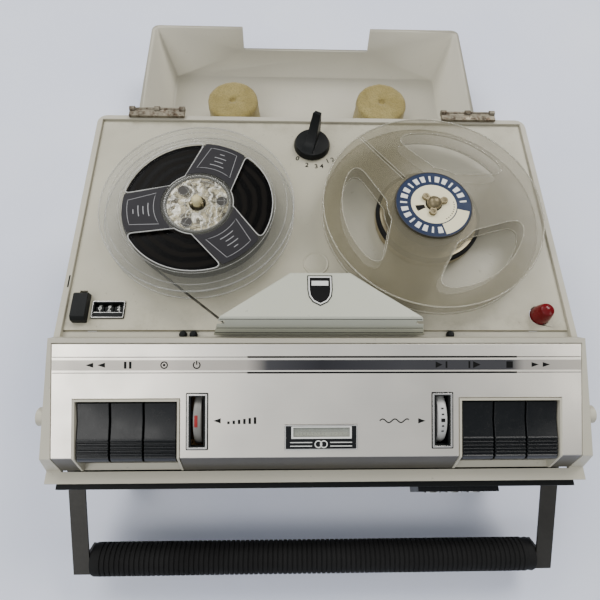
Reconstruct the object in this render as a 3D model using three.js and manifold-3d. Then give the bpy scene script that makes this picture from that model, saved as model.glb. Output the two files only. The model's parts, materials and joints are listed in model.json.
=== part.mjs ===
// Reel-to-reel tape deck in a portable case: lid off its closed place and lying open behind the case,
// carrying handle swung out in front. Millimetres, +Z up, operator at -Y.
import * as THREE from "three";
import { mergeVertices } from "three/addons/utils/BufferGeometryUtils.js";
import Module from "manifold-3d";

const wasm = await Module();
wasm.setup();

// ---- driving dimensions ----------------------------------------------------------------------------
// Machine frame: X across, Y = 0 at the back edge of the deck rim, Z = 0 at the deck surface.
const DECK_HEIGHT = 125; // deck surface above the table
const GAP = 0.3; // between pieces that touch
const CASE_FLARE = 0.16; // the case walls widen downwards by this much per mm
const LID_DRAFT = 0.22; // the lid walls lean in by this much per mm
const RIM_HALF = 165.3; // half width of the case at the rim
const RIM_Z = 2;
const RIM_WALL = 3.8;
const BELT_Z = -37; // lower edge of the light upper frame
const FRONT_Y = -263; // front edge of the ledge below the control panel
const LEDGE_Z = -33;
const DECK_FRONT_Y = -173.5;
const TROUGH_Y = -178.7; // lid wall stands between deck plate and this line
const TROUGH_Z = -1.5;
const PANEL_BACK_Y = -182.65;
const PANEL_BACK_Z = 11.3;
const PANEL_TILT = THREE.MathUtils.degToRad(21.7);
const PANEL_LENGTH = 72.2; // along the slope
const PANEL_HALF = 161.4;
const SHEET = 1.2; // panel sheet thickness
const SHELL_HALF = 156; // lower shell at its top edge
const SHELL_FLOOR_Z = -120;
const LEFT_REEL_X = -79.6;
const RIGHT_REEL_X = 76.8;
const REEL_Y = -92.8;
const LEFT_REEL_R = 64;
const RIGHT_REEL_R = 74;
const PACK_R = 50; // wound tape
const FLANGE = 1.6;
const SPINDLE_HOLE_R = 5.4;
const LOWER_FLANGE_Z = 9.6;
const UPPER_FLANGE_Z = 19.9;
const KNOB = [-2, -26.5];
const CAPSTAN = [10, -168];
const MOTOR = [-72, -118];
const FLYWHEEL_R = 42;
const PULLEY_R = 7;
const BELT_LEVEL = -36;
const LID_AXIS = [9, -34.15]; // Y, Z of the line that the lid turns about
const LID_DEPTH = 178.2;
const LID_TOP_Z = 56.7; // closed
const LID_WALL = 4.3;
const LID_FLOOR = 3.2;
const PAD_R = 27.5;
const LEFT_PAD_X = -77.9;
const RIGHT_PAD_X = 79.6;
const PAD_Y = -95.8;
const PAD_END_Z = 23.2; // closed, just above the reels
const PAD_HOLE_R = 9.8; // leaves room for the spindle tip
const HANDLE_PIVOT = [-221, -45];
const HANDLE_DROP = THREE.MathUtils.degToRad(30);
const HANDLE_LENGTH = 104;
const GRIP_R = 11;
const ARM_IN = 157;
const ARM_OUT = 168.2;
const KEY_PITCH = 20.1;
const KEY_WIDTH = 19;
const KEY_BANK_X = 117;
const WHEEL_X = 74.6;
const WHEEL_R = 17;

// The whole object spans from the handle grip to the far rim of the lid, and the frame sits midway.
const FRONT_END = HANDLE_PIVOT[0] - HANDLE_LENGTH * Math.cos(HANDLE_DROP) - GRIP_R;
const BACK_END = 2 * LID_AXIS[0] + LID_DEPTH;
const SHIFT_Y = -(FRONT_END + BACK_END) / 2;

// ---- materials -------------------------------------------------------------------------------------
const finish = (color, roughness, metalness = 0) =>
  new THREE.MeshStandardMaterial({ color, roughness, metalness });
const BEIGE = finish(0xbdb9a8, 0.55);
const DECK_PAINT = finish(0xa7a493, 0.5);
const ANTHRACITE = finish(0x3a3a3a, 0.7);
const SILVER = finish(0xcfcac0, 0.35, 0.9);
const BLACK = finish(0x151515, 0.3);
const STEEL = finish(0x5c5a54, 0.4, 0.9);
const RUBBER = finish(0x1c1c1c, 0.9);
const CLEAR = finish(0xd8d4c4, 0.1);
const TAPE = finish(0x2a1d16, 0.3);
const RED = finish(0xa01420, 0.35);
const FOAM = finish(0xa8935a, 0.95);
const BOARD = finish(0x8a6a3a, 0.7);
const COPPER = finish(0x9a5a30, 0.5, 0.6);
const LABEL = finish(0x2a4a8a, 0.6);
const CREAM = finish(0xc9c6b2, 0.5);

// ---- solid modelling helpers -----------------------------------------------------------------------
function solidOf(geometry) {
  const bare = geometry.clone();
  bare.deleteAttribute("normal");
  bare.deleteAttribute("uv");
  const merged = mergeVertices(bare, 1e-4);
  return new wasm.Manifold(
    new wasm.Mesh({
      numProp: 3,
      vertProperties: merged.attributes.position.array,
      triVerts: new Uint32Array(merged.index.array),
    }),
  );
}

function geometryOf(solid) {
  const mesh = solid.getMesh();
  const geometry = new THREE.BufferGeometry();
  geometry.setAttribute("position", new THREE.BufferAttribute(mesh.vertProperties, 3));
  geometry.setIndex(new THREE.BufferAttribute(mesh.triVerts, 1));
  geometry.computeVertexNormals();
  return geometry;
}

const join = (first, ...rest) =>
  geometryOf(rest.reduce((sum, g) => sum.add(solidOf(g)), solidOf(first)));
const cut = (base, ...tools) =>
  geometryOf(tools.reduce((left, g) => left.subtract(solidOf(g)), solidOf(base)));
const common = (a, b) => geometryOf(solidOf(a).intersect(solidOf(b)));

// A box from its lowest and highest corners.
function box(low, high) {
  const [w, d, h] = high.map((v, i) => v - low[i]);
  return new THREE.BoxGeometry(w, d, h).translate(low[0] + w / 2, low[1] + d / 2, low[2] + h / 2);
}

// An upright cylinder or cone frustum.
function round(x, y, z0, z1, radius, topRadius = radius, sides = 32) {
  return new THREE.CylinderGeometry(topRadius, radius, z1 - z0, sides)
    .rotateX(Math.PI / 2)
    .translate(x, y, (z0 + z1) / 2);
}

// A cylinder lying along X.
function barAlongX(x0, x1, y, z, radius, sides = 24) {
  return new THREE.CylinderGeometry(radius, radius, x1 - x0, sides)
    .rotateZ(Math.PI / 2)
    .translate((x0 + x1) / 2, y, z);
}

// A solid of revolution about Z from [radius, z] points, bottom to top, on the axis at both ends.
const turned = (points, sides = 32) =>
  new THREE.LatheGeometry(
    points.map(([r, z]) => new THREE.Vector2(r, z)),
    sides,
  ).rotateX(Math.PI / 2);

const outline = (points) => new THREE.Shape(points.map(([x, y]) => new THREE.Vector2(x, y)));

// Extrudes an outline in X, Y upwards from z0 to z1.
const plate = (shape, z0, z1, curveSegments = 12) =>
  new THREE.ExtrudeGeometry(shape, { depth: z1 - z0, bevelEnabled: false, curveSegments })
    .translate(0, 0, z0);

// Extrudes a side profile of [y, z] points across X.
function acrossX(profile, x0, x1) {
  const shape = outline(profile);
  return new THREE.ExtrudeGeometry(shape, { depth: x1 - x0, bevelEnabled: false })
    .rotateZ(Math.PI / 2)
    .rotateY(Math.PI / 2)
    .translate(x0, 0, 0);
}

// The points of a rounded rectangle, counter-clockwise.
function roundedRing(halfX, y0, y1, radius, steps = 4) {
  const ring = [];
  const corners = [
    [halfX, y1, 0],
    [-halfX, y1, 1],
    [-halfX, y0, 2],
    [halfX, y0, 3],
  ];
  for (const [x, y, quarter] of corners) {
    const cx = x - Math.sign(x) * radius;
    const cy = y + (y === y1 ? -radius : radius);
    for (let i = 0; i <= steps; i++) {
      const a = ((quarter + i / steps) * Math.PI) / 2;
      ring.push([cx + radius * Math.cos(a), cy + radius * Math.sin(a)]);
    }
  }
  return ring;
}

// Joins rings of equal point count, each given as [ring, z], and closes the first and the last.
function loft(sections) {
  const positions = [];
  sections.forEach(([ring, z]) => ring.forEach(([x, y]) => positions.push(x, y, z)));
  const count = sections[0][0].length;
  const index = [];
  for (let s = 0; s + 1 < sections.length; s++)
    for (let i = 0; i < count; i++) {
      const a = s * count + i;
      const b = s * count + ((i + 1) % count);
      index.push(a, b, b + count, a, b + count, a + count);
    }
  const cap = (ring) =>
    THREE.ShapeUtils.triangulateShape(
      ring.map(([x, y]) => new THREE.Vector2(x, y)),
      [],
    );
  const last = (sections.length - 1) * count;
  cap(sections[0][0]).forEach(([a, b, c]) => index.push(a, c, b));
  cap(sections[sections.length - 1][0]).forEach(([a, b, c]) => index.push(a + last, b + last, c + last));
  const geometry = new THREE.BufferGeometry();
  geometry.setAttribute("position", new THREE.BufferAttribute(new Float32Array(positions), 3));
  geometry.setIndex(index);
  geometry.setAttribute("normal", new THREE.BufferAttribute(new Float32Array(positions.length), 3));
  return geometry;
}

// ---- scene graph -----------------------------------------------------------------------------------
const deck = new THREE.Group();
const machine = new THREE.Group();
machine.position.set(0, SHIFT_Y, DECK_HEIGHT);
deck.add(machine);

const panel = new THREE.Group(); // x across, y up the slope, z out of the panel, origin at its back edge
panel.position.set(0, PANEL_BACK_Y, PANEL_BACK_Z);
panel.rotation.x = PANEL_TILT;
machine.add(panel);

const handle = new THREE.Group(); // origin on the pivots, -y along the arms
handle.position.set(0, ...HANDLE_PIVOT);
handle.rotation.x = HANDLE_DROP;
machine.add(handle);

const lid = new THREE.Group(); // holds the lid in its closed place, turned half round to lie open
lid.position.set(0, ...LID_AXIS);
lid.rotation.x = Math.PI;
machine.add(lid);
const lidClosed = new THREE.Group();
lidClosed.position.set(0, -LID_AXIS[0], -LID_AXIS[1]);
lid.add(lidClosed);

function node(name, geometry, material, parent = machine) {
  const mesh = new THREE.Mesh(geometry, material);
  mesh.name = name;
  parent.add(mesh);
}

const sides = [
  ["left", -1],
  ["right", 1],
];

// ---- case ------------------------------------------------------------------------------------------
const frameHalf = (z) => RIM_HALF + CASE_FLARE * (RIM_Z - z);
const frameBack = (z) => CASE_FLARE * (RIM_Z - z);
const STUD_Y = -225;
const STUD_Z = -12;

function topFrame() {
  const profile = [
    [12, BELT_Z],
    [12, RIM_Z],
    [TROUGH_Y, RIM_Z],
    [PANEL_BACK_Y, PANEL_BACK_Z],
    [PANEL_BACK_Y - PANEL_LENGTH * Math.cos(PANEL_TILT), PANEL_BACK_Z - PANEL_LENGTH * Math.sin(PANEL_TILT)],
    [-255.4, LEDGE_Z],
    [FRONT_Y, LEDGE_Z],
    [FRONT_Y, BELT_Z],
  ].reverse();
  const top = PANEL_BACK_Z + 1;
  const flared = loft([
    [roundedRing(frameHalf(BELT_Z), FRONT_Y - 6.5, frameBack(BELT_Z), 7), BELT_Z],
    [roundedRing(frameHalf(top), FRONT_Y - 6.5, frameBack(top), 7), top],
  ]);
  const hollow = loft([
    [roundedRing(frameHalf(BELT_Z) - 3.5, FRONT_Y + 3.5, frameBack(BELT_Z) - 3.5, 4), BELT_Z - 1],
    [roundedRing(RIM_HALF - RIM_WALL, FRONT_Y + 3.5, -RIM_WALL, 4), LEDGE_Z - 3],
  ]);
  const inner = RIM_HALF - RIM_WALL;
  const deckOpening = box([-inner, DECK_FRONT_Y - GAP, BELT_Z - 1], [inner, -RIM_WALL, 10]);
  const underTrough = box([-inner, -255.4, BELT_Z - 1], [inner, DECK_FRONT_Y + 1, TROUGH_Z - 2.5]);
  const trough = box([-inner, TROUGH_Y, TROUGH_Z], [inner, DECK_FRONT_Y + 1, 10]);
  const panelHalf = PANEL_HALF + GAP;
  const panelOpening = box([-panelHalf, -255.9, BELT_Z - 1], [panelHalf, PANEL_BACK_Y - 2.6, 20]);
  const shell = cut(
    common(acrossX(profile, -180, 180), flared),
    hollow,
    deckOpening,
    underTrough,
    trough,
    panelOpening,
  );
  const studOut = frameHalf(STUD_Z) + 3.4;
  const studIn = frameHalf(STUD_Z) - 2;
  return join(
    shell,
    barAlongX(studIn, studOut, STUD_Y, STUD_Z, 5.6),
    barAlongX(-studOut, -studIn, STUD_Y, STUD_Z, 5.6),
  );
}
node("top_frame", topFrame(), BEIGE);

function lowerShell() {
  const top = BELT_Z - GAP;
  const wall = 3;
  const outer = [
    [roundedRing(SHELL_HALF - 2.5, -260, 1, 9), SHELL_FLOOR_Z],
    [roundedRing(SHELL_HALF, -262, 2, 9), top],
  ];
  const inner = [
    [roundedRing(SHELL_HALF - wall, -262 + wall, 2 - wall, 6), top],
    [roundedRing(SHELL_HALF - 2.5 - wall, -260 + wall, 1 - wall, 6), SHELL_FLOOR_Z + wall],
  ];
  const posts = [
    [-140, -18],
    [140, -18],
    [-140, -166],
    [140, -166],
  ].map(([x, y]) => round(x, y, SHELL_FLOOR_Z + 1, -14 - GAP, 5, 5, 8));
  const slots = [];
  for (let i = 0; i < 9; i++) slots.push(box([149, -130 + i * 8, -88], [165, -126 + i * 8, -48]));
  for (let i = 0; i < 8; i++) slots.push(box([-60 + i * 16, -150, -125], [-54 + i * 16, -90, -110]));
  const inletHole = box([-110.3, -6, -98.3], [-79.7, 6, -77.7]);
  return cut(join(loft([...outer, ...inner]), ...posts), ...slots, inletHole);
}
node("lower_shell", lowerShell(), ANTHRACITE);

for (const [side, x] of sides)
  for (const [end, y] of [
    ["front", -240],
    ["rear", -20],
  ])
    node(`foot_${end}_${side}`, round(x * 138, y, -DECK_HEIGHT, SHELL_FLOOR_Z - GAP, 9, 10.5, 24), RUBBER);

node("front_strip", box([-RIM_HALF, -266.3, -43], [RIM_HALF, -262 - GAP, BELT_Z - GAP]), BLACK);

// A small block of three round sockets below the strip.
function socketBlock() {
  const body = box([65, -269.4, -66], [118, -262.4, -43.3]);
  const sockets = [77, 91.5, 106].map((x) =>
    new THREE.CylinderGeometry(5.5, 5.5, 4, 20).translate(x, -269.4, -54),
  );
  return cut(body, ...sockets);
}
node("socket_block", socketBlock(), BLACK);

// Fixed hinge halves: a moulded block on the back rim with two knuckles and a pin between them.
function hingePlate() {
  const block = box([-21, -2.6, RIM_Z + GAP], [21, 3.4, 4.6]);
  const knuckles = [-19, 0, 19].map((x) => barAlongX(x - 2, x + 2, 4.2, 4, 2.4, 12));
  return join(block, ...knuckles, barAlongX(-20, 20, 4.6, 4, 1.1, 12));
}
for (const [side, x] of sides) node(`hinge_plate_${side}`, hingePlate().translate(x * 120.5, 0, 0), BEIGE);

// Appliance inlet let into the back wall, with two pins in its well.
function mainsInlet() {
  const body = cut(box([-110, -7, -98], [-80, 3.5, -78]), box([-107, -3, -95], [-83, 5, -81]));
  const pins = [-99, -91].map((x) => new THREE.CylinderGeometry(1.8, 1.8, 6, 12).translate(x, -1, -88));
  return join(body, ...pins);
}
node("mains_inlet", mainsInlet(), BLACK);

// ---- deck surface ----------------------------------------------------------------------------------
const hole = (x, y, r) => round(x, y, -30, 30, r, r, 16);

function deckPlate() {
  const half = RIM_HALF - RIM_WALL - GAP;
  const sheet = box([-half, DECK_FRONT_Y, -2.2], [half, -RIM_WALL - GAP, 0]);
  return cut(
    sheet,
    hole(LEFT_REEL_X, REEL_Y, 7),
    hole(RIGHT_REEL_X, REEL_Y, 7),
    hole(...CAPSTAN, 5),
    hole(...KNOB, 4.5),
    hole(144.8, -163.4, 6.8),
    box([-155, -166.5, -5], [-150, -146.5, 5]),
    box([-145.3, -166, -5], [-124.3, -154, 5]),
  );
}
node("deck_plate", deckPlate(), DECK_PAINT);

function chassisPlate() {
  const sheet = box([-150, -176, -14], [150, -9, -12.4]);
  return cut(
    sheet,
    hole(LEFT_REEL_X, REEL_Y, 6),
    hole(RIGHT_REEL_X, REEL_Y, 6),
    hole(...CAPSTAN, 5),
    box([-150.1, -176.1, -20], [-118, -140, 0]),
    box([130, -176.1, -20], [150.1, -154, 0]),
  );
}
node("chassis_plate", chassisPlate(), STEEL);

// Head cover: narrow at the back, wide at the front, hollow underneath, a tape slot in each flank.
function headCover() {
  const shape = (inset, front) => [
    [-61 + inset, front],
    [61 - inset, front],
    [18.6 - inset * 0.6, -143.6 - inset],
    [-18.6 + inset * 0.6, -143.6 - inset],
  ];
  const foot = [
    [-66.4, -177],
    [66.4, -177],
    [20.2, -144],
    [-20.2, -144],
  ];
  const outer = loft([
    [foot, GAP],
    [foot, 2],
    [shape(0, -173.8), 21.7],
    [shape(0.8, -172.8), 22.5],
  ]);
  const inner = loft([
    [shape(-0.5, -174.6), -1],
    [shape(3.4, -171.6), 20.8],
  ]);
  const slot = box([-70, -174.8, 12], [70, -164, 18.8]);
  const midWall = box([-58, -180, 0], [58, -100, 25]);
  return cut(outer, inner, cut(slot, midWall));
}
node("head_cover", headCover(), CREAM);

// Bracket with the erase head, the record and playback head and two tape guides.
function headBridge() {
  const base = box([-36, -172, GAP], [2, -158, 2.2]);
  const heads = [-24, -8].map((x) => box([x - 5.5, -171, 2], [x + 5.5, -160, 17]));
  const guides = [-34, 0].map((x) => round(x, -169.5, 2, 18, 1.6, 1.6, 12));
  return join(base, ...heads, ...guides);
}
node("head_bridge", headBridge(), STEEL);

const PINCH_PIVOT = [26, -159.3];
const PINCH_REST = THREE.MathUtils.degToRad(12);
const ROLLER = [PINCH_PIVOT[0] - 16 * Math.cos(PINCH_REST), PINCH_PIVOT[1] + 16 * Math.sin(PINCH_REST)];
function pinchArm() {
  const lever = plate(
    outline([
      [PINCH_PIVOT[0] + 4, PINCH_PIVOT[1] - 3],
      [PINCH_PIVOT[0] + 4, PINCH_PIVOT[1] + 3],
      [ROLLER[0] - 3, ROLLER[1] + 3],
      [ROLLER[0] - 3, ROLLER[1] - 3],
    ]),
    4,
    6,
  );
  return join(lever, round(...PINCH_PIVOT, GAP, 8, 3, 3, 16), round(...ROLLER, 5, 18, 1.4, 1.4, 12));
}
node("pinch_arm", pinchArm(), STEEL);
node("pinch_roller", cut(round(...ROLLER, 7, 17.5, 6.5), round(...ROLLER, 0, 30, 1.6, 1.6, 12)), RUBBER);

// Tape on edge, from the wound pack to the slot in the head cover.
function tapeRun() {
  const guide = [-63, -170.5];
  const dx = guide[0] - LEFT_REEL_X;
  const dy = guide[1] - REEL_Y;
  const span = Math.hypot(dx, dy);
  const r = PACK_R + 0.5;
  const turn = Math.atan2(dy, dx) - Math.acos(r / span);
  const start = [LEFT_REEL_X + r * Math.cos(turn), REEL_Y + r * Math.sin(turn)];
  const length = Math.hypot(guide[0] - start[0], guide[1] - start[1]) + 5;
  return new THREE.BoxGeometry(length, 0.3, 6.3)
    .translate(length / 2, 0, 0)
    .rotateZ(Math.atan2(guide[1] - start[1], guide[0] - start[0]))
    .translate(...start, 15.4);
}
node("tape_run", tapeRun(), TAPE);

// Speed knob: a round skirt with an upright fin that leans back to a point.
const KNOB_TURN = THREE.MathUtils.degToRad(-24);
function speedKnob() {
  const skirt = turned(
    [
      [0, 0.5],
      [13.6, 0.5],
      [13.6, 2.5],
      [12.4, 5],
      [0, 6],
    ],
    32,
  );
  const side = acrossX(
    [
      [-11.5, 4],
      [12, 4],
      [9, 26.8],
      [5.5, 27.8],
      [-4, 9],
    ],
    -5,
    5,
  );
  const taper = outline([
    [-4.6, -12],
    [4.6, -12],
    [3, 5],
    [1.7, 13],
    [-1.7, 13],
    [-3, 5],
  ]);
  const fin = common(side, plate(taper, 0, 30));
  return join(skirt, fin, round(0, 0, -9, 1, 3.2, 3.2, 16)).rotateZ(KNOB_TURN).translate(...KNOB, 0);
}
node("speed_knob", speedKnob(), BLACK);

node(
  "record_button",
  turned([
    [0, -6],
    [3, -6],
    [3, -1],
    [6.2, -1],
    [6.2, 2.5],
    [5, 8.5],
    [4.2, 10.6],
    [2.4, 11.6],
    [0, 12],
  ], 24).translate(144.8, -163.4, 0),
  RED,
);

// Track slider: a block with a bevelled top and a tongue through the deck slot.
function trackSlider() {
  const block = acrossX(
    [
      [-169, GAP],
      [-149.5, GAP],
      [-150, 5],
      [-151, 6],
      [-166.5, 6],
      [-168.6, 4],
    ],
    -156.4,
    -147,
  );
  return join(block, box([-154.6, -164, -6], [-150.4, -154, 1]));
}
node("track_slider", trackSlider(), BLACK);

// Tape counter: a tub let into the deck, three joined digit drums and a reset bar.
const COUNTER_X = -134.8;
const COUNTER_HALF = 10.2;
const DRUM_Y = -158.7;
const DRUM_Z = -3.6;
const DRUM_R = 3;
const fromCounter = (x0, y0, z0, x1, y1, z1) => box([COUNTER_X + x0, y0, z0], [COUNTER_X + x1, y1, z1]);
function counterHousing() {
  const tub = fromCounter(-COUNTER_HALF, -165.7, -11.5, COUNTER_HALF, -154.3, 0.9);
  const inside = COUNTER_HALF - 1.2;
  const drumWell = fromCounter(-inside, DRUM_Y - DRUM_R - 0.3, -12, inside, DRUM_Y + DRUM_R + 0.3, 2);
  const barWell = fromCounter(-inside, -165.1, -4.6, inside, -161.9, 2);
  return cut(tub, drumWell, barWell);
}
node("counter_housing", counterHousing(), STEEL);
function counterDrums() {
  const drum = (x) => barAlongX(COUNTER_X + x - 2.6, COUNTER_X + x + 2.6, DRUM_Y, DRUM_Z, DRUM_R, 20);
  const drums = [-6, 0, 6].map(drum);
  return join(barAlongX(COUNTER_X - 8.7, COUNTER_X + 8.7, DRUM_Y, DRUM_Z, 1), ...drums);
}
node("counter_drums", counterDrums(), BLACK);
node("counter_reset", fromCounter(-8.7, -164.8, -2.2, 8.7, -162.4, 1.4), BLACK);

// ---- reels and drive -------------------------------------------------------------------------------
// Turntable with its shaft below and its three-ribbed spindle above.
function turntable() {
  const body = turned([
    [0, -22],
    [4, -22],
    [4, 1.2],
    [36, 1.2],
    [36, 8],
    [34.8, 9.2],
    [4, 9.2],
    [3.3, 25.5],
    [2.4, 27],
    [0, 27],
  ]);
  const ribs = [0, 1, 2].map((i) =>
    box([0, -0.7, 9], [4.6, 0.7, 24.6]).rotateZ(Math.PI / 2 + (i * 2 * Math.PI) / 3),
  );
  return join(body, ...ribs);
}

// A reel window: an arc near the rim, rounded corners, and two straight edges that close in on the hub.
function reelWindow({ inner, outer, innerSpread, outerSpread, corner }, middle) {
  const polar = (r, angle) => new THREE.Vector2(r * Math.cos(angle), r * Math.sin(angle));
  const bend = corner / outer;
  const shape = new THREE.Shape();
  shape.absarc(0, 0, outer, bend - outerSpread, outerSpread - bend, false);
  const [sharpA, sharpB] = [polar(outer, outerSpread), polar(outer, -outerSpread)];
  const [hubA, hubB] = [polar(inner, innerSpread), polar(inner, -innerSpread)];
  const edgeA = sharpA.clone().add(hubA.clone().sub(sharpA).setLength(corner));
  const edgeB = sharpB.clone().add(hubB.clone().sub(sharpB).setLength(corner));
  shape.quadraticCurveTo(sharpA.x, sharpA.y, edgeA.x, edgeA.y);
  shape.absarc(0, 0, inner, innerSpread, -innerSpread, true);
  shape.lineTo(edgeB.x, edgeB.y);
  const start = polar(outer, bend - outerSpread);
  shape.quadraticCurveTo(sharpB.x, sharpB.y, start.x, start.y);
  return plate(shape, 0, 40, 6).rotateZ(middle);
}

// Three windows, evenly spaced, the middle of the first at the given angle in degrees.
const reelWindows = (form, first) =>
  [0, 120, 240].map((turn) => reelWindow(form, THREE.MathUtils.degToRad(first + turn)));

function lowerReel(radius, hub, windows) {
  const body = turned(
    [
      [0, LOWER_FLANGE_Z],
      [radius, LOWER_FLANGE_Z],
      [radius, LOWER_FLANGE_Z + FLANGE],
      [hub, LOWER_FLANGE_Z + FLANGE],
      [hub, UPPER_FLANGE_Z - GAP],
      [0, UPPER_FLANGE_Z - GAP],
    ],
    48,
  );
  return cut(body, hole(0, 0, SPINDLE_HOLE_R), ...windows);
}

function upperReel(radius, windows) {
  const flange = round(0, 0, UPPER_FLANGE_Z, UPPER_FLANGE_Z + FLANGE, radius, radius, 48);
  return cut(flange, hole(0, 0, SPINDLE_HOLE_R), ...windows);
}

const LEFT_HUB_R = 21;
const RIGHT_HUB_R = 25.4;
const LABEL_R = 25.5;
const LEFT_WINDOW = { inner: 23.5, outer: 49.5, innerSpread: 0.26, outerSpread: 0.73, corner: 4.5 };
const RIGHT_WINDOW = { inner: 31, outer: 61, innerSpread: 0.24, outerSpread: 0.76, corner: 13 };
const leftWindows = reelWindows(LEFT_WINDOW, 10);
const rightWindows = reelWindows(RIGHT_WINDOW, -52);

// The threading slot runs from the label to the rim between two windows.
const threadingSlot = box([27.5, -0.8, 0], [80, 0.8, 40]).rotateZ(THREE.MathUtils.degToRad(129));

const onLeft = (geometry) => geometry.translate(LEFT_REEL_X, REEL_Y, 0);
const onRight = (geometry) => geometry.translate(RIGHT_REEL_X, REEL_Y, 0);

node("left_turntable", onLeft(turntable()), STEEL);
node("left_reel_lower", onLeft(lowerReel(LEFT_REEL_R, LEFT_HUB_R, leftWindows)), CLEAR);
node("left_reel_upper", onLeft(upperReel(LEFT_REEL_R, leftWindows)), CLEAR);
const packHole = round(0, 0, 0, 30, LEFT_HUB_R + GAP, LEFT_HUB_R + GAP, 48);
const pack = cut(round(0, 0, 11.8, 19, PACK_R, PACK_R, 48), packHole);
node("tape_pack", onLeft(pack), TAPE);
node("right_turntable", onRight(turntable()), STEEL);
node("right_reel_lower", onRight(lowerReel(RIGHT_REEL_R, RIGHT_HUB_R, rightWindows)), CLEAR);
node("right_reel_upper", onRight(upperReel(RIGHT_REEL_R, [...rightWindows, threadingSlot])), CLEAR);
const labelLow = UPPER_FLANGE_Z + FLANGE + GAP;
const labelDisc = round(0, 0, labelLow, labelLow + 0.8, LABEL_R, LABEL_R, 40);
const labelHole = round(0, 0, 0, 40, SPINDLE_HOLE_R, SPINDLE_HOLE_R, 24);
node("right_reel_label", onRight(cut(labelDisc, labelHole)), LABEL);

// Flywheel with the capstan shaft standing up through chassis and deck.
node(
  "flywheel",
  turned([
    [0, -46],
    [4, -46],
    [4, -42],
    [FLYWHEEL_R, -42],
    [FLYWHEEL_R, -30],
    [30, -30],
    [28, -34],
    [6, -34],
    [3, -26],
    [2, -26],
    [2, 18],
    [0, 18],
  ]).translate(...CAPSTAN, 0),
  STEEL,
);
node(
  "motor_body",
  join(
    round(...MOTOR, -100, -52, 28, 28, 24),
    round(...MOTOR, -52, -49, 8, 8, 24),
    box([MOTOR[0] - 36, MOTOR[1] - 6, -56], [MOTOR[0] + 36, MOTOR[1] + 6, -52.2]),
  ),
  STEEL,
);
node("motor_pulley", round(...MOTOR, -48.6, -28, PULLEY_R, PULLEY_R, 24), COPPER);

// Flat belt round pulley and flywheel: the outline of both circles and their outer tangents.
function beltOutline(extra) {
  const dx = CAPSTAN[0] - MOTOR[0];
  const dy = CAPSTAN[1] - MOTOR[1];
  const toward = Math.atan2(dy, dx);
  const lean = Math.acos((PULLEY_R - FLYWHEEL_R) / Math.hypot(dx, dy));
  const shape = new THREE.Shape();
  shape.absarc(MOTOR[0], MOTOR[1], PULLEY_R + extra, toward + lean, toward + 2 * Math.PI - lean, false);
  shape.absarc(CAPSTAN[0], CAPSTAN[1], FLYWHEEL_R + extra, toward - lean, toward + lean, false);
  shape.closePath();
  return shape;
}
const beltLow = BELT_LEVEL - 3;
const beltHigh = BELT_LEVEL + 3;
const beltOuter = plate(beltOutline(1.3), beltLow, beltHigh, 14);
const beltInner = plate(beltOutline(GAP + 0.1), beltLow - 1, beltHigh + 1, 14);
node("drive_belt", cut(beltOuter, beltInner), RUBBER);

// ---- electrical parts ------------------------------------------------------------------------------
const floorZ = SHELL_FLOOR_Z + 3 + GAP;
function transformer() {
  const core = box([56, -84, floorZ], [112, -38, floorZ + 48]);
  const coil = box([62, -92, floorZ + 10], [106, -30, floorZ + 38]);
  return join(core, coil);
}
node("transformer", transformer(), COPPER);

function circuitBoard() {
  const board = box([-140, -244, -78], [60, -190, -76.4]);
  const cans = [-120, -96, -70, -30, 10, 36].map((x, i) =>
    round(x, -206 - (i % 2) * 22, -77, -58, 5 + (i % 3) * 2, 5 + (i % 3) * 2, 16),
  );
  const supports = [-132, 52].map((x) => round(x, -216, floorZ, -77, 4, 4, 12));
  return join(board, ...cans, ...supports);
}
node("circuit_board", circuitBoard(), BOARD);

// Loudspeaker facing the slots in the right-hand wall.
function loudspeaker() {
  const basket = turned(
    [
      [0, 0],
      [19, 0],
      [19, 12],
      [23, 14],
      [40, 30],
      [46, 30],
      [46, 33],
      [37, 33],
      [12, 18],
      [0, 20],
    ],
    32,
  );
  return basket.rotateY(Math.PI / 2).translate(113, -96, -66);
}
node("loudspeaker", loudspeaker(), BLACK);

// ---- control panel, in the panel's own frame -------------------------------------------------------
const DROP_Y = -83.9; // foot of the folded front edge
const DROP_Z = -14.2;
const RECESS_IN = 84.2;
const RECESS_OUT = 148.4;
const RECESS_BACK = -36.4;

function controlPanel() {
  const profile = [
    [-3.5, 0],
    [-3.5, -SHEET],
    [-PANEL_LENGTH + 0.8, -SHEET],
    [DROP_Y + 1.4, DROP_Z + 0.9],
    [DROP_Y + 0.4, DROP_Z + 1.4],
    [-PANEL_LENGTH + 0.3, 0],
  ].reverse();
  const sheet = acrossX(profile, -PANEL_HALF, PANEL_HALF);
  const cuts = [box([-21.9, -67.5, -5], [22.4, -52.2, 5])];
  for (const [, x] of sides) {
    cuts.push(box([x * KEY_BANK_X - 32.1, -95, -30], [x * KEY_BANK_X + 32.1, RECESS_BACK, 5]));
    cuts.push(box([x * WHEEL_X - 5, -65.6, -5], [x * WHEEL_X + 5, -34.5, 5]));
  }
  return cut(sheet, ...cuts).translate(0, 0, -0.4);
}
node("control_panel", controlPanel(), SILVER, panel);

// Lining of a key recess: back and side walls, and a bar along the front below the keys.
function keyBezel(x) {
  const from = x * KEY_BANK_X - 31.8;
  const to = x * KEY_BANK_X + 31.8;
  const back = box([from, -38, -13], [to, RECESS_BACK - GAP, 0.2]);
  const cheek = [
    [-37, -13],
    [-37, 0.2],
    [-PANEL_LENGTH, 0.2],
    [DROP_Y + 0.2, DROP_Z + 1],
    [DROP_Y + 0.2, -19],
    [-79, -19],
    [-75, -13],
  ];
  const bar = box([from, -84, -19], [to, -79.6, -15.6]);
  return join(back, acrossX(cheek, from, from + 1.3), acrossX(cheek, to - 1.3, to), bar);
}
for (const [side, x] of sides) node(`key_bezel_${side}`, keyBezel(x), BEIGE, panel);

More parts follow.
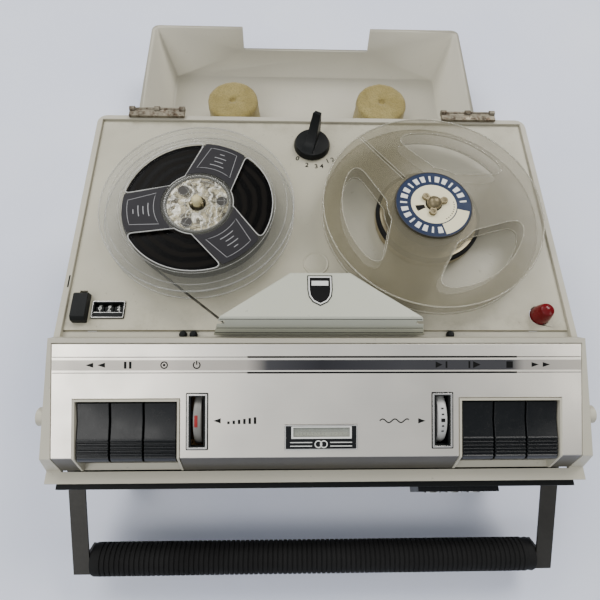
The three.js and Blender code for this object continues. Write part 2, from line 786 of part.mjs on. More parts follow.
// A piano key: dished top, five ribs for the finger, rounded front edge.
function keyCap(x) {
  const profile = [
    [-38.6, -13],
    [-38.6, -2],
    [-39.4, -1.3],
    [-50, -2.1],
    [-60.6, -0.9],
  ];
  for (let i = 0; i < 5; i++) {
    const y = -61 - i * 2.1;
    profile.push([y, -0.3], [y - 1, -0.3], [y - 1.1, -1.2], [y - 2, -1.2]);
  }
  profile.push([-72, -0.6], [-74.4, -2.2], [-76.2, -6], [-77, -13]);
  return acrossX(profile.reverse(), x - KEY_WIDTH / 2, x + KEY_WIDTH / 2);
}
const KEYS = [
  ["key_rewind", -KEY_BANK_X - KEY_PITCH],
  ["key_pause", -KEY_BANK_X],
  ["key_input", -KEY_BANK_X + KEY_PITCH],
  ["key_start", KEY_BANK_X - KEY_PITCH],
  ["key_stop", KEY_BANK_X],
  ["key_forward", KEY_BANK_X + KEY_PITCH],
];
for (const [name, x] of KEYS) node(name, keyCap(x), BLACK, panel);

// Thumbwheels turn about X below their windows.
function thumbWheel(x) {
  const wheel = barAlongX(-3.6, 3.6, 0, 0, WHEEL_R, 48);
  return join(wheel, barAlongX(-7, 7, 0, 0, 2.5, 12)).translate(x, -50, 1.3 - WHEEL_R);
}
node("volume_wheel", thumbWheel(-WHEEL_X), CREAM, panel);
node("tone_wheel", thumbWheel(WHEEL_X), CREAM, panel);

// Level meter: a dark plate with a window, a pointer swinging under it.
function meterHousing() {
  const plateBox = box([-21.6, -67.2, -10], [22.1, -52.5, 0.5]);
  const window = box([-16.8, -59.6, -3], [17.8, -53.6, 3]);
  const well = box([-19, -60.5, -11], [19.5, -53.4, -1.6]);
  return cut(plateBox, window, well);
}
node("meter_housing", meterHousing(), BLACK, panel);
function meterNeedle() {
  const pointer = box([-0.5, -0.5, 0], [0.5, 0.5, 23]);
  const hub = new THREE.CylinderGeometry(2.5, 2.5, 5, 16);
  return join(pointer, hub).rotateY(THREE.MathUtils.degToRad(-25)).translate(0.5, -56.4, -26);
}
node("meter_needle", meterNeedle(), RED, panel);

// ---- handle, in its own frame ----------------------------------------------------------------------
function handleArm(side) {
  const web = box([ARM_IN, -HANDLE_LENGTH - 7, 5], [ARM_OUT, -3, 6.6]);
  const flange = acrossX(
    [
      [-HANDLE_LENGTH - 7, -7],
      [-HANDLE_LENGTH - 7, 6.6],
      [0, 6.6],
      [4.9, 4.9],
      [7, 0],
      [4.9, -4.9],
      [0, -7],
    ].reverse(),
    ARM_OUT - 1.8,
    ARM_OUT,
  );
  const endPlate = box([ARM_IN, -HANDLE_LENGTH - 7, -7], [ARM_IN + 1.8, -HANDLE_LENGTH + 8, 6.6]);
  const arm = cut(join(web, flange, endPlate), barAlongX(160, 180, 0, 0, 4.1));
  return side > 0 ? arm : mirrored(arm);
}
function mirrored(geometry) {
  const turnedRound = geometry.clone().scale(-1, 1, 1);
  const index = turnedRound.index.array;
  for (let i = 0; i < index.length; i += 3) [index[i + 1], index[i + 2]] = [index[i + 2], index[i + 1]];
  return turnedRound;
}
for (const [side, x] of sides) {
  node(`handle_arm_${side}`, handleArm(x), STEEL, handle);
  const pin = join(
    barAlongX(SHELL_HALF + GAP, ARM_OUT + 2, ...HANDLE_PIVOT, 3.8),
    barAlongX(ARM_OUT + GAP, ARM_OUT + 4.5, ...HANDLE_PIVOT, 6),
    barAlongX(SHELL_HALF + GAP, ARM_OUT - 2.2, ...HANDLE_PIVOT, 5.4),
  );
  node(`handle_pivot_${side}`, x > 0 ? pin : mirrored(pin), CREAM);
}
node(
  "handle_grip",
  barAlongX(-ARM_IN + GAP, ARM_IN - GAP, -HANDLE_LENGTH, 0, GRIP_R, 24),
  RUBBER,
  handle,
);

// ---- lid, in its closed place ----------------------------------------------------------------------
function lidShell() {
  const rim = RIM_Z + GAP;
  const ring = (z, inset, radius) => {
    const lean = LID_DRAFT * (z - rim) + inset;
    return [roundedRing(RIM_HALF - lean, -LID_DEPTH + lean, -lean, radius), z];
  };
  const shell = loft([
    ring(rim, 0, 7),
    ring(LID_TOP_Z - 4, 0, 7),
    ring(LID_TOP_Z - 1.2, 1.2, 6),
    ring(LID_TOP_Z, 4, 4),
  ]);
  const hollow = loft([ring(rim - 1, LID_WALL, 4), ring(LID_TOP_Z - LID_FLOOR, LID_WALL, 4)]);
  const hingeNotches = sides.map(([, x]) => box([x * 120.5 - 22.5, -8, 0], [x * 120.5 + 22.5, 8, 11.5]));
  const coverNotch = box([-69, -190, 0], [69, -165, 24.5]);
  return cut(shell, hollow, ...hingeNotches, coverNotch);
}
node("lid_shell", lidShell(), BEIGE, lidClosed);

// Foam pads glued inside the lid press on the reels, with a hole for the spindle tip.
function foamPad(x) {
  const pad = round(x, PAD_Y, PAD_END_Z, LID_TOP_Z - LID_FLOOR - GAP, PAD_R);
  return cut(pad, round(x, PAD_Y, PAD_END_Z - 1, PAD_END_Z + 7, PAD_HOLE_R, PAD_HOLE_R, 24));
}
node("foam_pad_left", foamPad(LEFT_PAD_X), FOAM, lidClosed);
node("foam_pad_right", foamPad(RIGHT_PAD_X), FOAM, lidClosed);

export default deck;
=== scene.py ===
import json
import math

import bmesh
import bpy
from mathutils import Matrix, Vector, noise


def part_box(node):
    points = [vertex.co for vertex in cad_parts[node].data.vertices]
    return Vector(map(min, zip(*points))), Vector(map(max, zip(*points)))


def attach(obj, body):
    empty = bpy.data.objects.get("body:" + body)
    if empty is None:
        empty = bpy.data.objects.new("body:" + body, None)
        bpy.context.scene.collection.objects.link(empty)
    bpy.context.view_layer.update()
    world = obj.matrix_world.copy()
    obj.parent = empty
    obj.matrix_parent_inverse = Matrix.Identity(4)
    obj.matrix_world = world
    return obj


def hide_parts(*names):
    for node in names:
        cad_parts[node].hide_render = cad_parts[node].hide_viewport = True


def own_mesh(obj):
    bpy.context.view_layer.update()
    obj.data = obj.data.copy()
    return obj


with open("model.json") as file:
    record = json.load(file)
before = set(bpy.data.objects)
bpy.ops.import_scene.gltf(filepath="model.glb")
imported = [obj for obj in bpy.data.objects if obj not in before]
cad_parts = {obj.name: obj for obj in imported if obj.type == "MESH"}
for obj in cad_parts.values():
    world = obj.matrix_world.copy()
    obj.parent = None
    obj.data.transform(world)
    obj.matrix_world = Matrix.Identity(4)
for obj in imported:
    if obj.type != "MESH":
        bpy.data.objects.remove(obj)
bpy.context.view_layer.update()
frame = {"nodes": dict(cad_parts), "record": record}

noise.seed_set(7)  # the unevenness of the foam is drawn from this seed
NODES = frame["nodes"]
SCENE = bpy.context.scene
MM = 0.001


# ---- frames of reference ------------------------------------------------------------------------
# The machine frame: X across, y = 0 at the back edge of the deck rim, z = 0 on the deck, in mm.
BACK_Y = 0.0629333
DECK_Z = 0.125
MACHINE = Matrix.Translation((0, BACK_Y, DECK_Z)) @ Matrix.Scale(MM, 4)
# The panel frame: origin at the back edge of the sloping panel, z = 0 on its brushed face.
PANEL_EDGE = (0, -182.65, 11.3)
PANEL_TILT = math.radians(21.7)
PANEL_SINK = 0.4
PANEL = (
    MACHINE
    @ Matrix.Translation(PANEL_EDGE)
    @ Matrix.Rotation(PANEL_TILT, 4, "X")
    @ Matrix.Translation((0, 0, -PANEL_SINK))
)


def reel_frame(node):
    """Upright frame on the reel's axis, z = 0 on the deck, in mm."""
    low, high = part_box(node)
    middle = (low + high) / 2
    return Matrix.Translation((middle.x, middle.y, MACHINE.translation.z)) @ Matrix.Scale(MM, 4)


LEFT_REEL = reel_frame("left_reel_upper")
RIGHT_REEL = reel_frame("right_reel_upper")
# Lays a piece made in mm about its local z axis down along X.
ALONG_X = Matrix.Rotation(math.pi / 2, 4, "Y") @ Matrix.Scale(MM, 4)
LEFT_R = 64
RIGHT_R = 74
FLANGE_TOP = 21.5
LOWER_TOP = 11.2
HINGE_X = 120.5


# ---- materials ----------------------------------------------------------------------------------
class Paint:
    """Builds a node material around one Principled shader."""

    def __init__(self, name, color, rough=0.5, metal=0.0, **sockets):
        self.name = name
        self.material = bpy.data.materials.new(name)
        self.material.use_nodes = True
        tree = self.material.node_tree
        self.nodes, self.links = tree.nodes, tree.links
        self.shader = self.nodes["Principled BSDF"]
        self.set("Base Color", (*color, 1))
        self.set("Roughness", rough)
        self.set("Metallic", metal)
        for socket, value in sockets.items():
            self.set(socket.replace("_", " "), value)
        self.coords = self.nodes.new("ShaderNodeTexCoord").outputs["Object"]
        self.height = None

    def set(self, socket, value):
        self.shader.inputs[socket].default_value = value

    def mapped(self, scale=(1, 1, 1), shift=(0, 0, 0)):
        node = self.nodes.new("ShaderNodeMapping")
        node.inputs["Location"].default_value = shift
        node.inputs["Scale"].default_value = scale
        self.links.new(self.coords, node.inputs["Vector"])
        return node.outputs["Vector"]

    def noise(self, scale, detail=4.0, vector=None, rough=0.5):
        node = self.nodes.new("ShaderNodeTexNoise")
        node.inputs["Scale"].default_value = scale
        node.inputs["Detail"].default_value = detail
        node.inputs["Roughness"].default_value = rough
        self.links.new(vector or self.coords, node.inputs["Vector"])
        return node.outputs["Fac"]

    def ramp(self, value, low, high, start=0.35, end=0.65):
        node = self.nodes.new("ShaderNodeValToRGB")
        node.color_ramp.elements[0].position = start
        node.color_ramp.elements[0].color = (*low, 1)
        node.color_ramp.elements[1].position = end
        node.color_ramp.elements[1].color = (*high, 1)
        self.links.new(value, node.inputs["Fac"])
        return node.outputs["Color"]

    def ranged(self, value, low, high, start=0.3, end=0.7):
        node = self.nodes.new("ShaderNodeMapRange")
        node.inputs["From Min"].default_value = start
        node.inputs["From Max"].default_value = end
        node.inputs["To Min"].default_value = low
        node.inputs["To Max"].default_value = high
        self.links.new(value, node.inputs["Value"])
        return node.outputs["Result"]

    def mix(self, factor, first, second):
        node = self.nodes.new("ShaderNodeMix")
        node.data_type = "RGBA"
        factor_in, first_in, second_in = (node.inputs[i] for i in (0, 6, 7))
        for socket, value in ((factor_in, factor), (first_in, first), (second_in, second)):
            if isinstance(value, tuple):
                socket.default_value = (*value, 1)
            elif isinstance(value, float):
                socket.default_value = value
            else:
                self.links.new(value, socket)
        return node.outputs[2]

    def times(self, first, second):
        node = self.nodes.new("ShaderNodeMath")
        node.operation = "MULTIPLY"
        self.links.new(first, node.inputs[0])
        self.links.new(second, node.inputs[1])
        return node.outputs[0]

    def axis(self, letter):
        node = self.nodes.new("ShaderNodeSeparateXYZ")
        self.links.new(self.coords, node.inputs[0])
        return node.outputs[letter]

    def colored(self, output):
        self.links.new(output, self.shader.inputs["Base Color"])

    def roughness(self, output):
        self.links.new(output, self.shader.inputs["Roughness"])

    def bump(self, value, strength, distance=0.0002):
        node = self.nodes.new("ShaderNodeBump")
        node.inputs["Strength"].default_value = strength
        node.inputs["Distance"].default_value = distance
        self.links.new(value, node.inputs["Height"])
        if self.height is not None:
            self.links.new(self.height, node.inputs["Normal"])
        self.height = node.outputs["Normal"]
        self.links.new(self.height, self.shader.inputs["Normal"])

    def rings(self, centre, scale, distortion=0.0, detail=2.0):
        """Concentric rings round an upright axis through centre, in metres."""
        node = self.nodes.new("ShaderNodeTexWave")
        node.wave_type = "RINGS"
        node.rings_direction = "Z"
        node.inputs["Scale"].default_value = scale
        node.inputs["Distortion"].default_value = distortion
        node.inputs["Detail"].default_value = detail
        self.links.new(self.mapped(shift=(-centre.x, -centre.y, 0)), node.inputs["Vector"])
        return node.outputs["Fac"]


def shade(color, factor):
    return tuple(min(1.0, c * factor) for c in color)


def aged(name, color, rough, blotch=0.06, grain=0.15, grain_scale=2500, dust=0.05, metal=0.0, **sockets):
    """Painted or moulded surface: slow colour drift, small stains, fine orange-peel grain."""
    paint = Paint(name, color, rough, metal, **sockets)
    slow = paint.noise(9, 5)
    drift = paint.ramp(slow, shade(color, 1 - blotch), shade(color, 1 + blotch), 0.35, 0.68)
    spots = paint.noise(260, 3, rough=0.7)
    stain = paint.ranged(spots, 0.0, 1.0, 0.66, 0.74)
    stained = paint.mix(stain, drift, shade(color, 1 - 3.5 * dust))
    paint.colored(stained)
    patches = paint.noise(45, 6, rough=0.65)
    paint.roughness(paint.ranged(patches, rough - 0.09, rough + 0.1))
    paint.bump(paint.noise(grain_scale, 2), grain, 0.00006)
    paint.base = stained
    return paint


def soiled(paint, dark_tone, axis, plain_at, darkest_at, amount=0.8):
    """Darker patches towards one side of a piece, from plain to darkest along an axis in metres."""
    near = paint.ranged(paint.axis(axis), 0.0, amount, plain_at, darkest_at)
    patches = paint.ranged(paint.noise(70, 6, rough=0.7), 0.0, 1.0, 0.46, 0.66)
    paint.base = paint.mix(paint.times(near, patches), paint.base, dark_tone)
    paint.colored(paint.base)


MATERIALS = {}


def keep(paint):
    """Files a paint under its name, which is also the slot name of the nodes that wear it."""
    MATERIALS[paint.name] = paint
    return paint


for surface in (
    aged("case_paint", (0.475, 0.45, 0.362), 0.5, 0.06, 0.25, 1800, 0.06),
    aged("deck_paint", (0.475, 0.448, 0.342), 0.46, 0.09, 0.3, 2600, 0.09),
    aged("cover_plastic", (0.51, 0.52, 0.43), 0.36, 0.03, 0.12, 900, 0.05),
    aged("dark_shell", (0.009, 0.009, 0.009), 0.6, 0.15, 0.7, 1300, 0.1, Specular_IOR_Level=0.2),
    aged("satin_black", (0.005, 0.006, 0.006), 0.44, 0.2, 0.25, 1800, 0.1, Specular_IOR_Level=0.17),
    aged("cream_plastic", (0.56, 0.54, 0.44), 0.4, 0.05, 0.15, 1500, 0.06),
    aged("rubber", (0.008, 0.008, 0.008), 0.78, 0.25, 0.6, 1500, 0.15, Specular_IOR_Level=0.2),
    aged("board", (0.30, 0.17, 0.06), 0.55, 0.12, 0.2, 900, 0.1),
    aged("copper", (0.52, 0.27, 0.13), 0.4, 0.12, 0.2, 900, 0.1, metal=0.8),
    aged("label", (0.007, 0.019, 0.058), 0.5, 0.15, 0.2, 2000, 0.1, Specular_IOR_Level=0.2),
):
    keep(surface)
deck_paint = MATERIALS["deck_paint"]
# The deck is darker in patches towards its front and its back edge.
soiled(deck_paint, (0.20, 0.175, 0.12), "Y", -0.086, -0.118, 0.55)
soiled(deck_paint, (0.22, 0.19, 0.13), "Y", 0.040, 0.062, 0.45)
# Painted shadow: a darker, duller round on the deck under the open reel.
from_reel = deck_paint.nodes.new("ShaderNodeVectorMath")
from_reel.operation = "DISTANCE"
from_reel.inputs[1].default_value = (*RIGHT_REEL.translation.xy, DECK_Z)
deck_paint.links.new(deck_paint.coords, from_reel.inputs[0])
reel_shadow = deck_paint.ranged(from_reel.outputs["Value"], 0.3, 0.0, 0.045, 0.09)
deck_paint.colored(deck_paint.mix(reel_shadow, deck_paint.base, (0.16, 0.15, 0.11)))


def brushed(name, color, rough, along, metal=1.0, streak=0.05, bump=0.12):
    """Metal brushed along X ("x") or evenly satin ("none")."""
    paint = Paint(name, color, rough, metal)
    scale = {"x": (12, 2600, 2600), "none": (300, 300, 300)}[along]
    lines = paint.noise(1, 3, paint.mapped(scale=scale), 0.6)
    slow = paint.noise(11, 4)
    tone = paint.ramp(slow, shade(color, 0.95), shade(color, 1.04), 0.35, 0.65)
    lined = paint.mix(paint.ranged(lines, 0.0, 1.0, 0.2, 0.8), shade(color, 1 - streak),
                      shade(color, 1 + streak))
    paint.base = paint.mix(0.5, tone, lined)
    paint.colored(paint.base)
    paint.roughness(paint.ranged(paint.noise(35, 5), rough - 0.06, rough + 0.08))
    paint.bump(lines, bump, 0.00002)
    return paint


keep(brushed("steel", (0.36, 0.335, 0.295), 0.38, "none", 0.95, 0.1, 0.1))
# The turned-down front lip of the panel is coloured dark.
sheet = keep(brushed("panel_metal", (0.81, 0.77, 0.69), 0.34, "x", 0.92, 0.035, 0.2))
on_lip = sheet.ranged(sheet.axis("Z"), 1.0, 0.0, 0.1088, 0.1094)
sheet.colored(sheet.mix(on_lip, sheet.base, (0.10, 0.095, 0.085)))

gloss = keep(Paint("black_plastic", (0.012, 0.012, 0.013), 0.2, 0, Specular_IOR_Level=0.26))
specks = gloss.ranged(gloss.noise(420, 5, rough=0.75), 0, 1, 0.55, 0.75)
gloss.colored(gloss.mix(specks, (0.004, 0.005, 0.006), (0.013, 0.013, 0.013)))
gloss.roughness(gloss.ranged(gloss.noise(60, 6, rough=0.6), 0.12, 0.3))
gloss.bump(gloss.noise(60, 2), 0.06, 0.0001)

red = keep(Paint("red_plastic", (0.17, 0.004, 0.008), 0.24, 0, Specular_IOR_Level=0.25))
red.colored(red.ramp(red.noise(60, 3), (0.11, 0.002, 0.004), (0.20, 0.004, 0.009)))
red.roughness(red.ranged(red.noise(150, 4), 0.16, 0.34))


def clear(name, color, alpha, rough=0.1, gloss=0.8):
    """See-through moulded polystyrene with faint flow marks and scratches."""
    paint = Paint(name, color, rough, 0, Alpha=alpha, Specular_IOR_Level=gloss)
    flow = paint.noise(70, 3, rough=0.6)
    paint.colored(paint.ramp(flow, shade(color, 0.9), shade(color, 1.06)))
    paint.roughness(paint.ranged(paint.noise(160, 5, rough=0.7), rough, rough + 0.16))
    paint.bump(flow, 0.12, 0.0004)
    paint.material.surface_render_method = "BLENDED"
    return paint


keep(clear("clear_plastic", (0.20, 0.20, 0.17), 0.14, 0.1, 0.5))
keep(clear("amber_plastic", (0.185, 0.165, 0.10), 0.33, 0.16, 0.2))
# Painted highlights: lighter copies of the clear and amber plastic colour the rounded rims, window lips,
# hub rings and ribs.
CLEAR_EDGE_HIGHLIGHT = clear("clear_edge_highlight", (0.50, 0.50, 0.46), 0.26, 0.05)
CLEAR_LIP_HIGHLIGHT = clear("clear_lip_highlight", (0.82, 0.82, 0.79), 0.42, 0.05, 1.0)
AMBER_EDGE_HIGHLIGHT = clear("amber_edge_highlight", (0.52, 0.49, 0.38), 0.42, 0.06)
SMOKED = aged("smoked_hub", (0.035, 0.032, 0.028), 0.35, 0.15, 0.1, 700, 0.05, Specular_IOR_Level=0.25)

tape = keep(Paint("tape", (0.006, 0.005, 0.005), 0.36, 0, Specular_IOR_Level=0.05))
tape_rings = tape.rings(Vector(LEFT_REEL.translation), 420, 0.6)
bands = tape.rings(Vector(LEFT_REEL.translation), 46, 2.5, 3.0)
tape.colored(tape.mix(tape.ranged(bands, 0, 1, 0.3, 0.9), (0.001, 0.001, 0.001), (0.006, 0.005, 0.004)))
tape.roughness(tape.ranged(bands, 0.22, 0.42, 0.1, 0.9))
tape.bump(tape_rings, 0.3, 0.00005)

foam = keep(Paint("foam", (0.32, 0.255, 0.10), 0.95, 0, Sheen_Weight=0.2))
cells = foam.nodes.new("ShaderNodeTexVoronoi")
cells.inputs["Scale"].default_value = 900
foam.links.new(foam.coords, cells.inputs["Vector"])
worn = foam.ramp(foam.noise(38, 5, rough=0.6), (0.245, 0.19, 0.055), (0.35, 0.285, 0.105))
# Painted shade: the foam is coloured darker in its pores, where the cells dip.
pore_shade = foam.ranged(cells.outputs["Distance"], 0.0, 1.0, 0.1, 0.55)
foam.colored(foam.mix(pore_shade, (0.17, 0.13, 0.045), worn))
foam.bump(cells.outputs["Distance"], 0.8, 0.0004)
foam.bump(foam.noise(220, 4), 0.5, 0.0006)

INK = aged("ink", (0.007, 0.007, 0.007), 0.6, 0.2, 0.1, 1500, 0.05, Specular_IOR_Level=0.1)
WHITE_INK = aged("white_ink", (0.72, 0.72, 0.68), 0.5, 0.05, 0.1, 1500, 0.05)
CREAM_PRINT = aged("cream_print", (0.80, 0.735, 0.50), 0.55, 0.05, 0.15, 1800, 0.06)
RED_INK = aged("red_ink", (0.27, 0.012, 0.012), 0.45, 0.1, 0.1, 1500, 0.05, Specular_IOR_Level=0.3)
GREY_LABEL = aged("grey_label", (0.022, 0.021, 0.024), 0.5, 0.12, 0.2, 2400, 0.06, Specular_IOR_Level=0.15)
# Painted glints: gold, brown and white patches and streaks in the colour of the hub floor stand for light
# caught by the moulded ribs and flow lines under the clear hub.
GLINTS = Paint("hub_glints", (0.4, 0.36, 0.26), 0.22, 0.35)
glint_streaks = GLINTS.nodes.new("ShaderNodeTexWave")
glint_streaks.inputs["Scale"].default_value = 38
glint_streaks.inputs["Distortion"].default_value = 14
glint_streaks.inputs["Detail"].default_value = 3
glint_streaks.inputs["Detail Scale"].default_value = 2.2
GLINTS.links.new(GLINTS.coords, glint_streaks.inputs["Vector"])
glint_patches = GLINTS.ramp(GLINTS.noise(170, 4, rough=0.7), (0.05, 0.04, 0.022), (0.42, 0.37, 0.235), 0.42, 0.56)
GLINTS.colored(GLINTS.mix(GLINTS.ranged(glint_streaks.outputs["Fac"], 0.0, 0.8, 0.72, 0.95), glint_patches,
                          (0.78, 0.76, 0.66)))
GLINTS.bump(GLINTS.noise(330, 4), 0.9, 0.0006)
LABEL_LINE = aged("label_line", (0.30, 0.30, 0.31), 0.4, 0.12, 0.2, 2400, 0.06)
DARK_STEEL = brushed("dark_steel", (0.066, 0.063, 0.057), 0.46, "none", 0.8, 0.14, 0.2)
GOLDEN = brushed("golden_steel", (0.40, 0.345, 0.22), 0.36, "none", 0.9, 0.1, 0.1)
AGED_CREAM = aged("aged_cream", (0.56, 0.49, 0.27), 0.42, 0.08, 0.15, 1500, 0.08)
CHROME = brushed("bright_trim", (0.72, 0.70, 0.66), 0.16, "none", 1.0, 0.04, 0.05)
BRONZE = brushed("bronze_cap", (0.19, 0.155, 0.085), 0.42, "none", 0.55, 0.12, 0.15)
RUSTY = Paint("hinge_metal", (0.30, 0.26, 0.20), 0.5, 0.7)
rust = RUSTY.ranged(RUSTY.noise(240, 6, rough=0.7), 0, 1, 0.45, 0.62)
RUSTY.colored(RUSTY.mix(rust, (0.23, 0.205, 0.155), (0.075, 0.05, 0.03)))
RUSTY.roughness(RUSTY.ranged(RUSTY.noise(150, 5), 0.35, 0.75))
RUSTY.bump(RUSTY.noise(700, 4), 0.5, 0.0002)
GLASS = Paint("meter_glass", (0.40, 0.42, 0.36), 0.08, 0, Alpha=0.45, Specular_IOR_Level=0.8)
GLASS.roughness(GLASS.ranged(GLASS.noise(150, 4), 0.05, 0.2))
GLASS.colored(GLASS.ramp(GLASS.noise(50, 3), (0.34, 0.36, 0.31), (0.46, 0.48, 0.42)))

# The printed strip: dark in the middle, fading to bare brushed metal at both ends.
STRIP = brushed("printed_strip", (0.50, 0.47, 0.42), 0.4, "x", 0.5, 0.05, 0.15)
fade = STRIP.nodes.new("ShaderNodeValToRGB")
stops = fade.color_ramp
stops.elements[0].position, stops.elements[0].color = 0.0, (0.50, 0.47, 0.42, 1)
stops.elements[1].position, stops.elements[1].color = 1.0, (0.46, 0.43, 0.38, 1)
PRINT_BLACK = (0.05, 0.05, 0.055)
for place, tone in ((0.36, (0.42, 0.39, 0.35)), (0.40, PRINT_BLACK), (0.5, (0.02, 0.02, 0.025)),
                    (0.66, PRINT_BLACK), (0.865, PRINT_BLACK), (0.89, (0.36, 0.34, 0.31))):
    stops.elements.new(place).color = (*tone, 1)
STRIP.links.new(STRIP.ranged(STRIP.axis("X"), 0, 1, -0.161, 0.161), fade.inputs["Fac"])
STRIP.colored(fade.outputs["Color"])


# ---- mesh tools ---------------------------------------------------------------------------------
def smooth(obj, degrees=35):
    obj.data.shade_smooth()
    obj.data.set_sharp_from_angle(angle=math.radians(degrees))


def bevelled(obj, width, segments=2, degrees=35):
    bevel = obj.modifiers.new("edge", "BEVEL")
    bevel.width = width
    bevel.segments = segments
    bevel.limit_method = "ANGLE"
    bevel.angle_limit = math.radians(degrees)
    bevel.harden_normals = True


def piece(name, verts, faces, place, paint, body, bevel=0.0, degrees=35):
    """One mesh from points in a local frame of millimetres, set down by the matrix place."""
    mesh = bpy.data.meshes.new(name)
    mesh.from_pydata([place @ Vector(v) for v in verts], [], faces)
    work = bmesh.new()
    work.from_mesh(mesh)
    bmesh.ops.remove_doubles(work, verts=work.verts, dist=1e-7)
    bmesh.ops.recalc_face_normals(work, faces=work.faces)
    work.to_mesh(mesh)
    work.free()
    obj = bpy.data.objects.new(name, mesh)
    SCENE.collection.objects.link(obj)
    mesh.materials.append(paint.material)
    smooth(obj, degrees)
    if bevel:
        bevelled(obj, bevel * MM, 2, degrees)
    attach(obj, body)
    return obj


def prism(name, outline, low, high, place, paint, body, bevel=0.0):
    count = len(outline)
    verts = [(x, y, low) for x, y in outline] + [(x, y, high) for x, y in outline]
    faces = [[i, (i + 1) % count, (i + 1) % count + count, i + count] for i in range(count)]
    faces += [list(range(count))[::-1], list(range(count, 2 * count))]
    return piece(name, verts, faces, place, paint, body, bevel)


def bordered(name, outer, inner, low, high, place, paint, body, bevel=0.0):
    """A flat frame between two outlines of equal point count."""
    count = len(outer)
    rings = [[(x, y, z) for x, y in ring] for z in (low, high) for ring in (outer, inner)]
    verts = [v for ring in rings for v in ring]
    faces = []
    for i in range(count):
        j = (i + 1) % count
        low_out, low_in, high_out, high_in = 0, count, 2 * count, 3 * count
        faces.append([low_out + i, low_out + j, high_out + j, high_out + i])
        faces.append([low_in + i, high_in + i, high_in + j, low_in + j])
        faces.append([high_out + i, high_out + j, high_in + j, high_in + i])
        faces.append([low_out + i, low_in + i, low_in + j, low_out + j])
    return piece(name, verts, faces, place, paint, body, bevel)


def spun(name, profile, place, paint, body, steps=96, ring=False, bevel=0.0):
    """Turns a profile of (radius, z) about the local z axis; a ring's profile is closed."""
    verts = []
    for i in range(steps):
        a = 2 * math.pi * i / steps
        verts += [(r * math.cos(a), r * math.sin(a), z) for r, z in profile]
    count = len(profile)
    spans = count if ring else count - 1
    faces = []
    for i in range(steps):
        for k in range(spans):
            a, b = i * count, ((i + 1) % steps) * count
            faces.append([a + k, b + k, b + (k + 1) % count, a + (k + 1) % count])
    return piece(name, verts, faces, place, paint, body, bevel)


def tube(name, path, radius, place, paint, body, closed=True, sides=8, flat=1.0):
    """A thin bead along a path of local points, with its section's height scaled by flat."""
    points = [Vector(p) for p in path]
    count = len(points)
    verts, faces = [], []
    for i, point in enumerate(points):
        before = points[(i - 1) % count] if closed or i else point
        after = points[(i + 1) % count] if closed or i < count - 1 else point
        along = (after - before).normalized()
        up = Vector((0, 0, 1))
        across = along.cross(up).normalized() if along.cross(up).length > 1e-6 else Vector((1, 0, 0))
        top = across.cross(along)
        for k in range(sides):
            a = 2 * math.pi * k / sides
            verts.append(point + radius * (math.cos(a) * across + flat * math.sin(a) * top))
    for i in range(count if closed else count - 1):
        for k in range(sides):
            a, b = i * sides, ((i + 1) % count) * sides
            faces.append([a + k, b + k, b + (k + 1) % sides, a + (k + 1) % sides])
    if not closed:
        faces += [list(range(sides)), list(range((count - 1) * sides, count * sides))]
    return piece(name, verts, faces, place, paint, body, degrees=80)


def polar(radius, degrees):
    a = math.radians(degrees)
    return (radius * math.cos(a), radius * math.sin(a))


def arc(radius, start, end, steps=12):
    return [polar(radius, start + (end - start) * i / steps) for i in range(steps + 1)]


def rectangle(x0, y0, x1, y1, corner=0.0, steps=4):
    if not corner:
        return [(x0, y0), (x1, y0), (x1, y1), (x0, y1)]
    points = []
    for cx, cy, start in ((x1 - corner, y1 - corner, 0), (x0 + corner, y1 - corner, 90),
                          (x0 + corner, y0 + corner, 180), (x1 - corner, y0 + corner, 270)):
        points += [(cx + x, cy + y) for x, y in arc(corner, start, start + 90, steps)]
    return points


def stroke(path, width):
    """The outline of a flat line of even width along an open path."""
    left, right = [], []
    for i, (x, y) in enumerate(path):
        ax, ay = path[max(i - 1, 0)]
        bx, by = path[min(i + 1, len(path) - 1)]
        length = math.hypot(bx - ax, by - ay)
        nx, ny = -(by - ay) / length * width / 2, (bx - ax) / length * width / 2
        left.append((x + nx, y + ny))
        right.append((x - nx, y - ny))
    return left + right[::-1]


def lift(points, z):
    return [(x, y, z) for x, y in points]


def shifted(points, dx, dy):
    return [(x + dx, y + dy) for x, y in points]


def lettered(name, text, size, place, paint, body, weight=0.03):
    """Raised numerals, 0.06 mm thick, centred on the place's origin."""
    curve = bpy.data.curves.new(name, "FONT")
    curve.body = text
    curve.size = size
    curve.extrude = 0.03
    curve.align_x = "CENTER"
    curve.align_y = "CENTER"
    curve.offset = weight
    holder = bpy.data.objects.new(name + "_curve", curve)
    SCENE.collection.objects.link(holder)
    bpy.context.view_layer.update()
    mesh = bpy.data.meshes.new_from_object(holder)
    bpy.data.objects.remove(holder)
    mesh.transform(place)
    mesh.materials.clear()
    mesh.materials.append(paint.material)
    mesh.name = name
    obj = bpy.data.objects.new(name, mesh)
    SCENE.collection.objects.link(obj)
    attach(obj, body)
    return obj


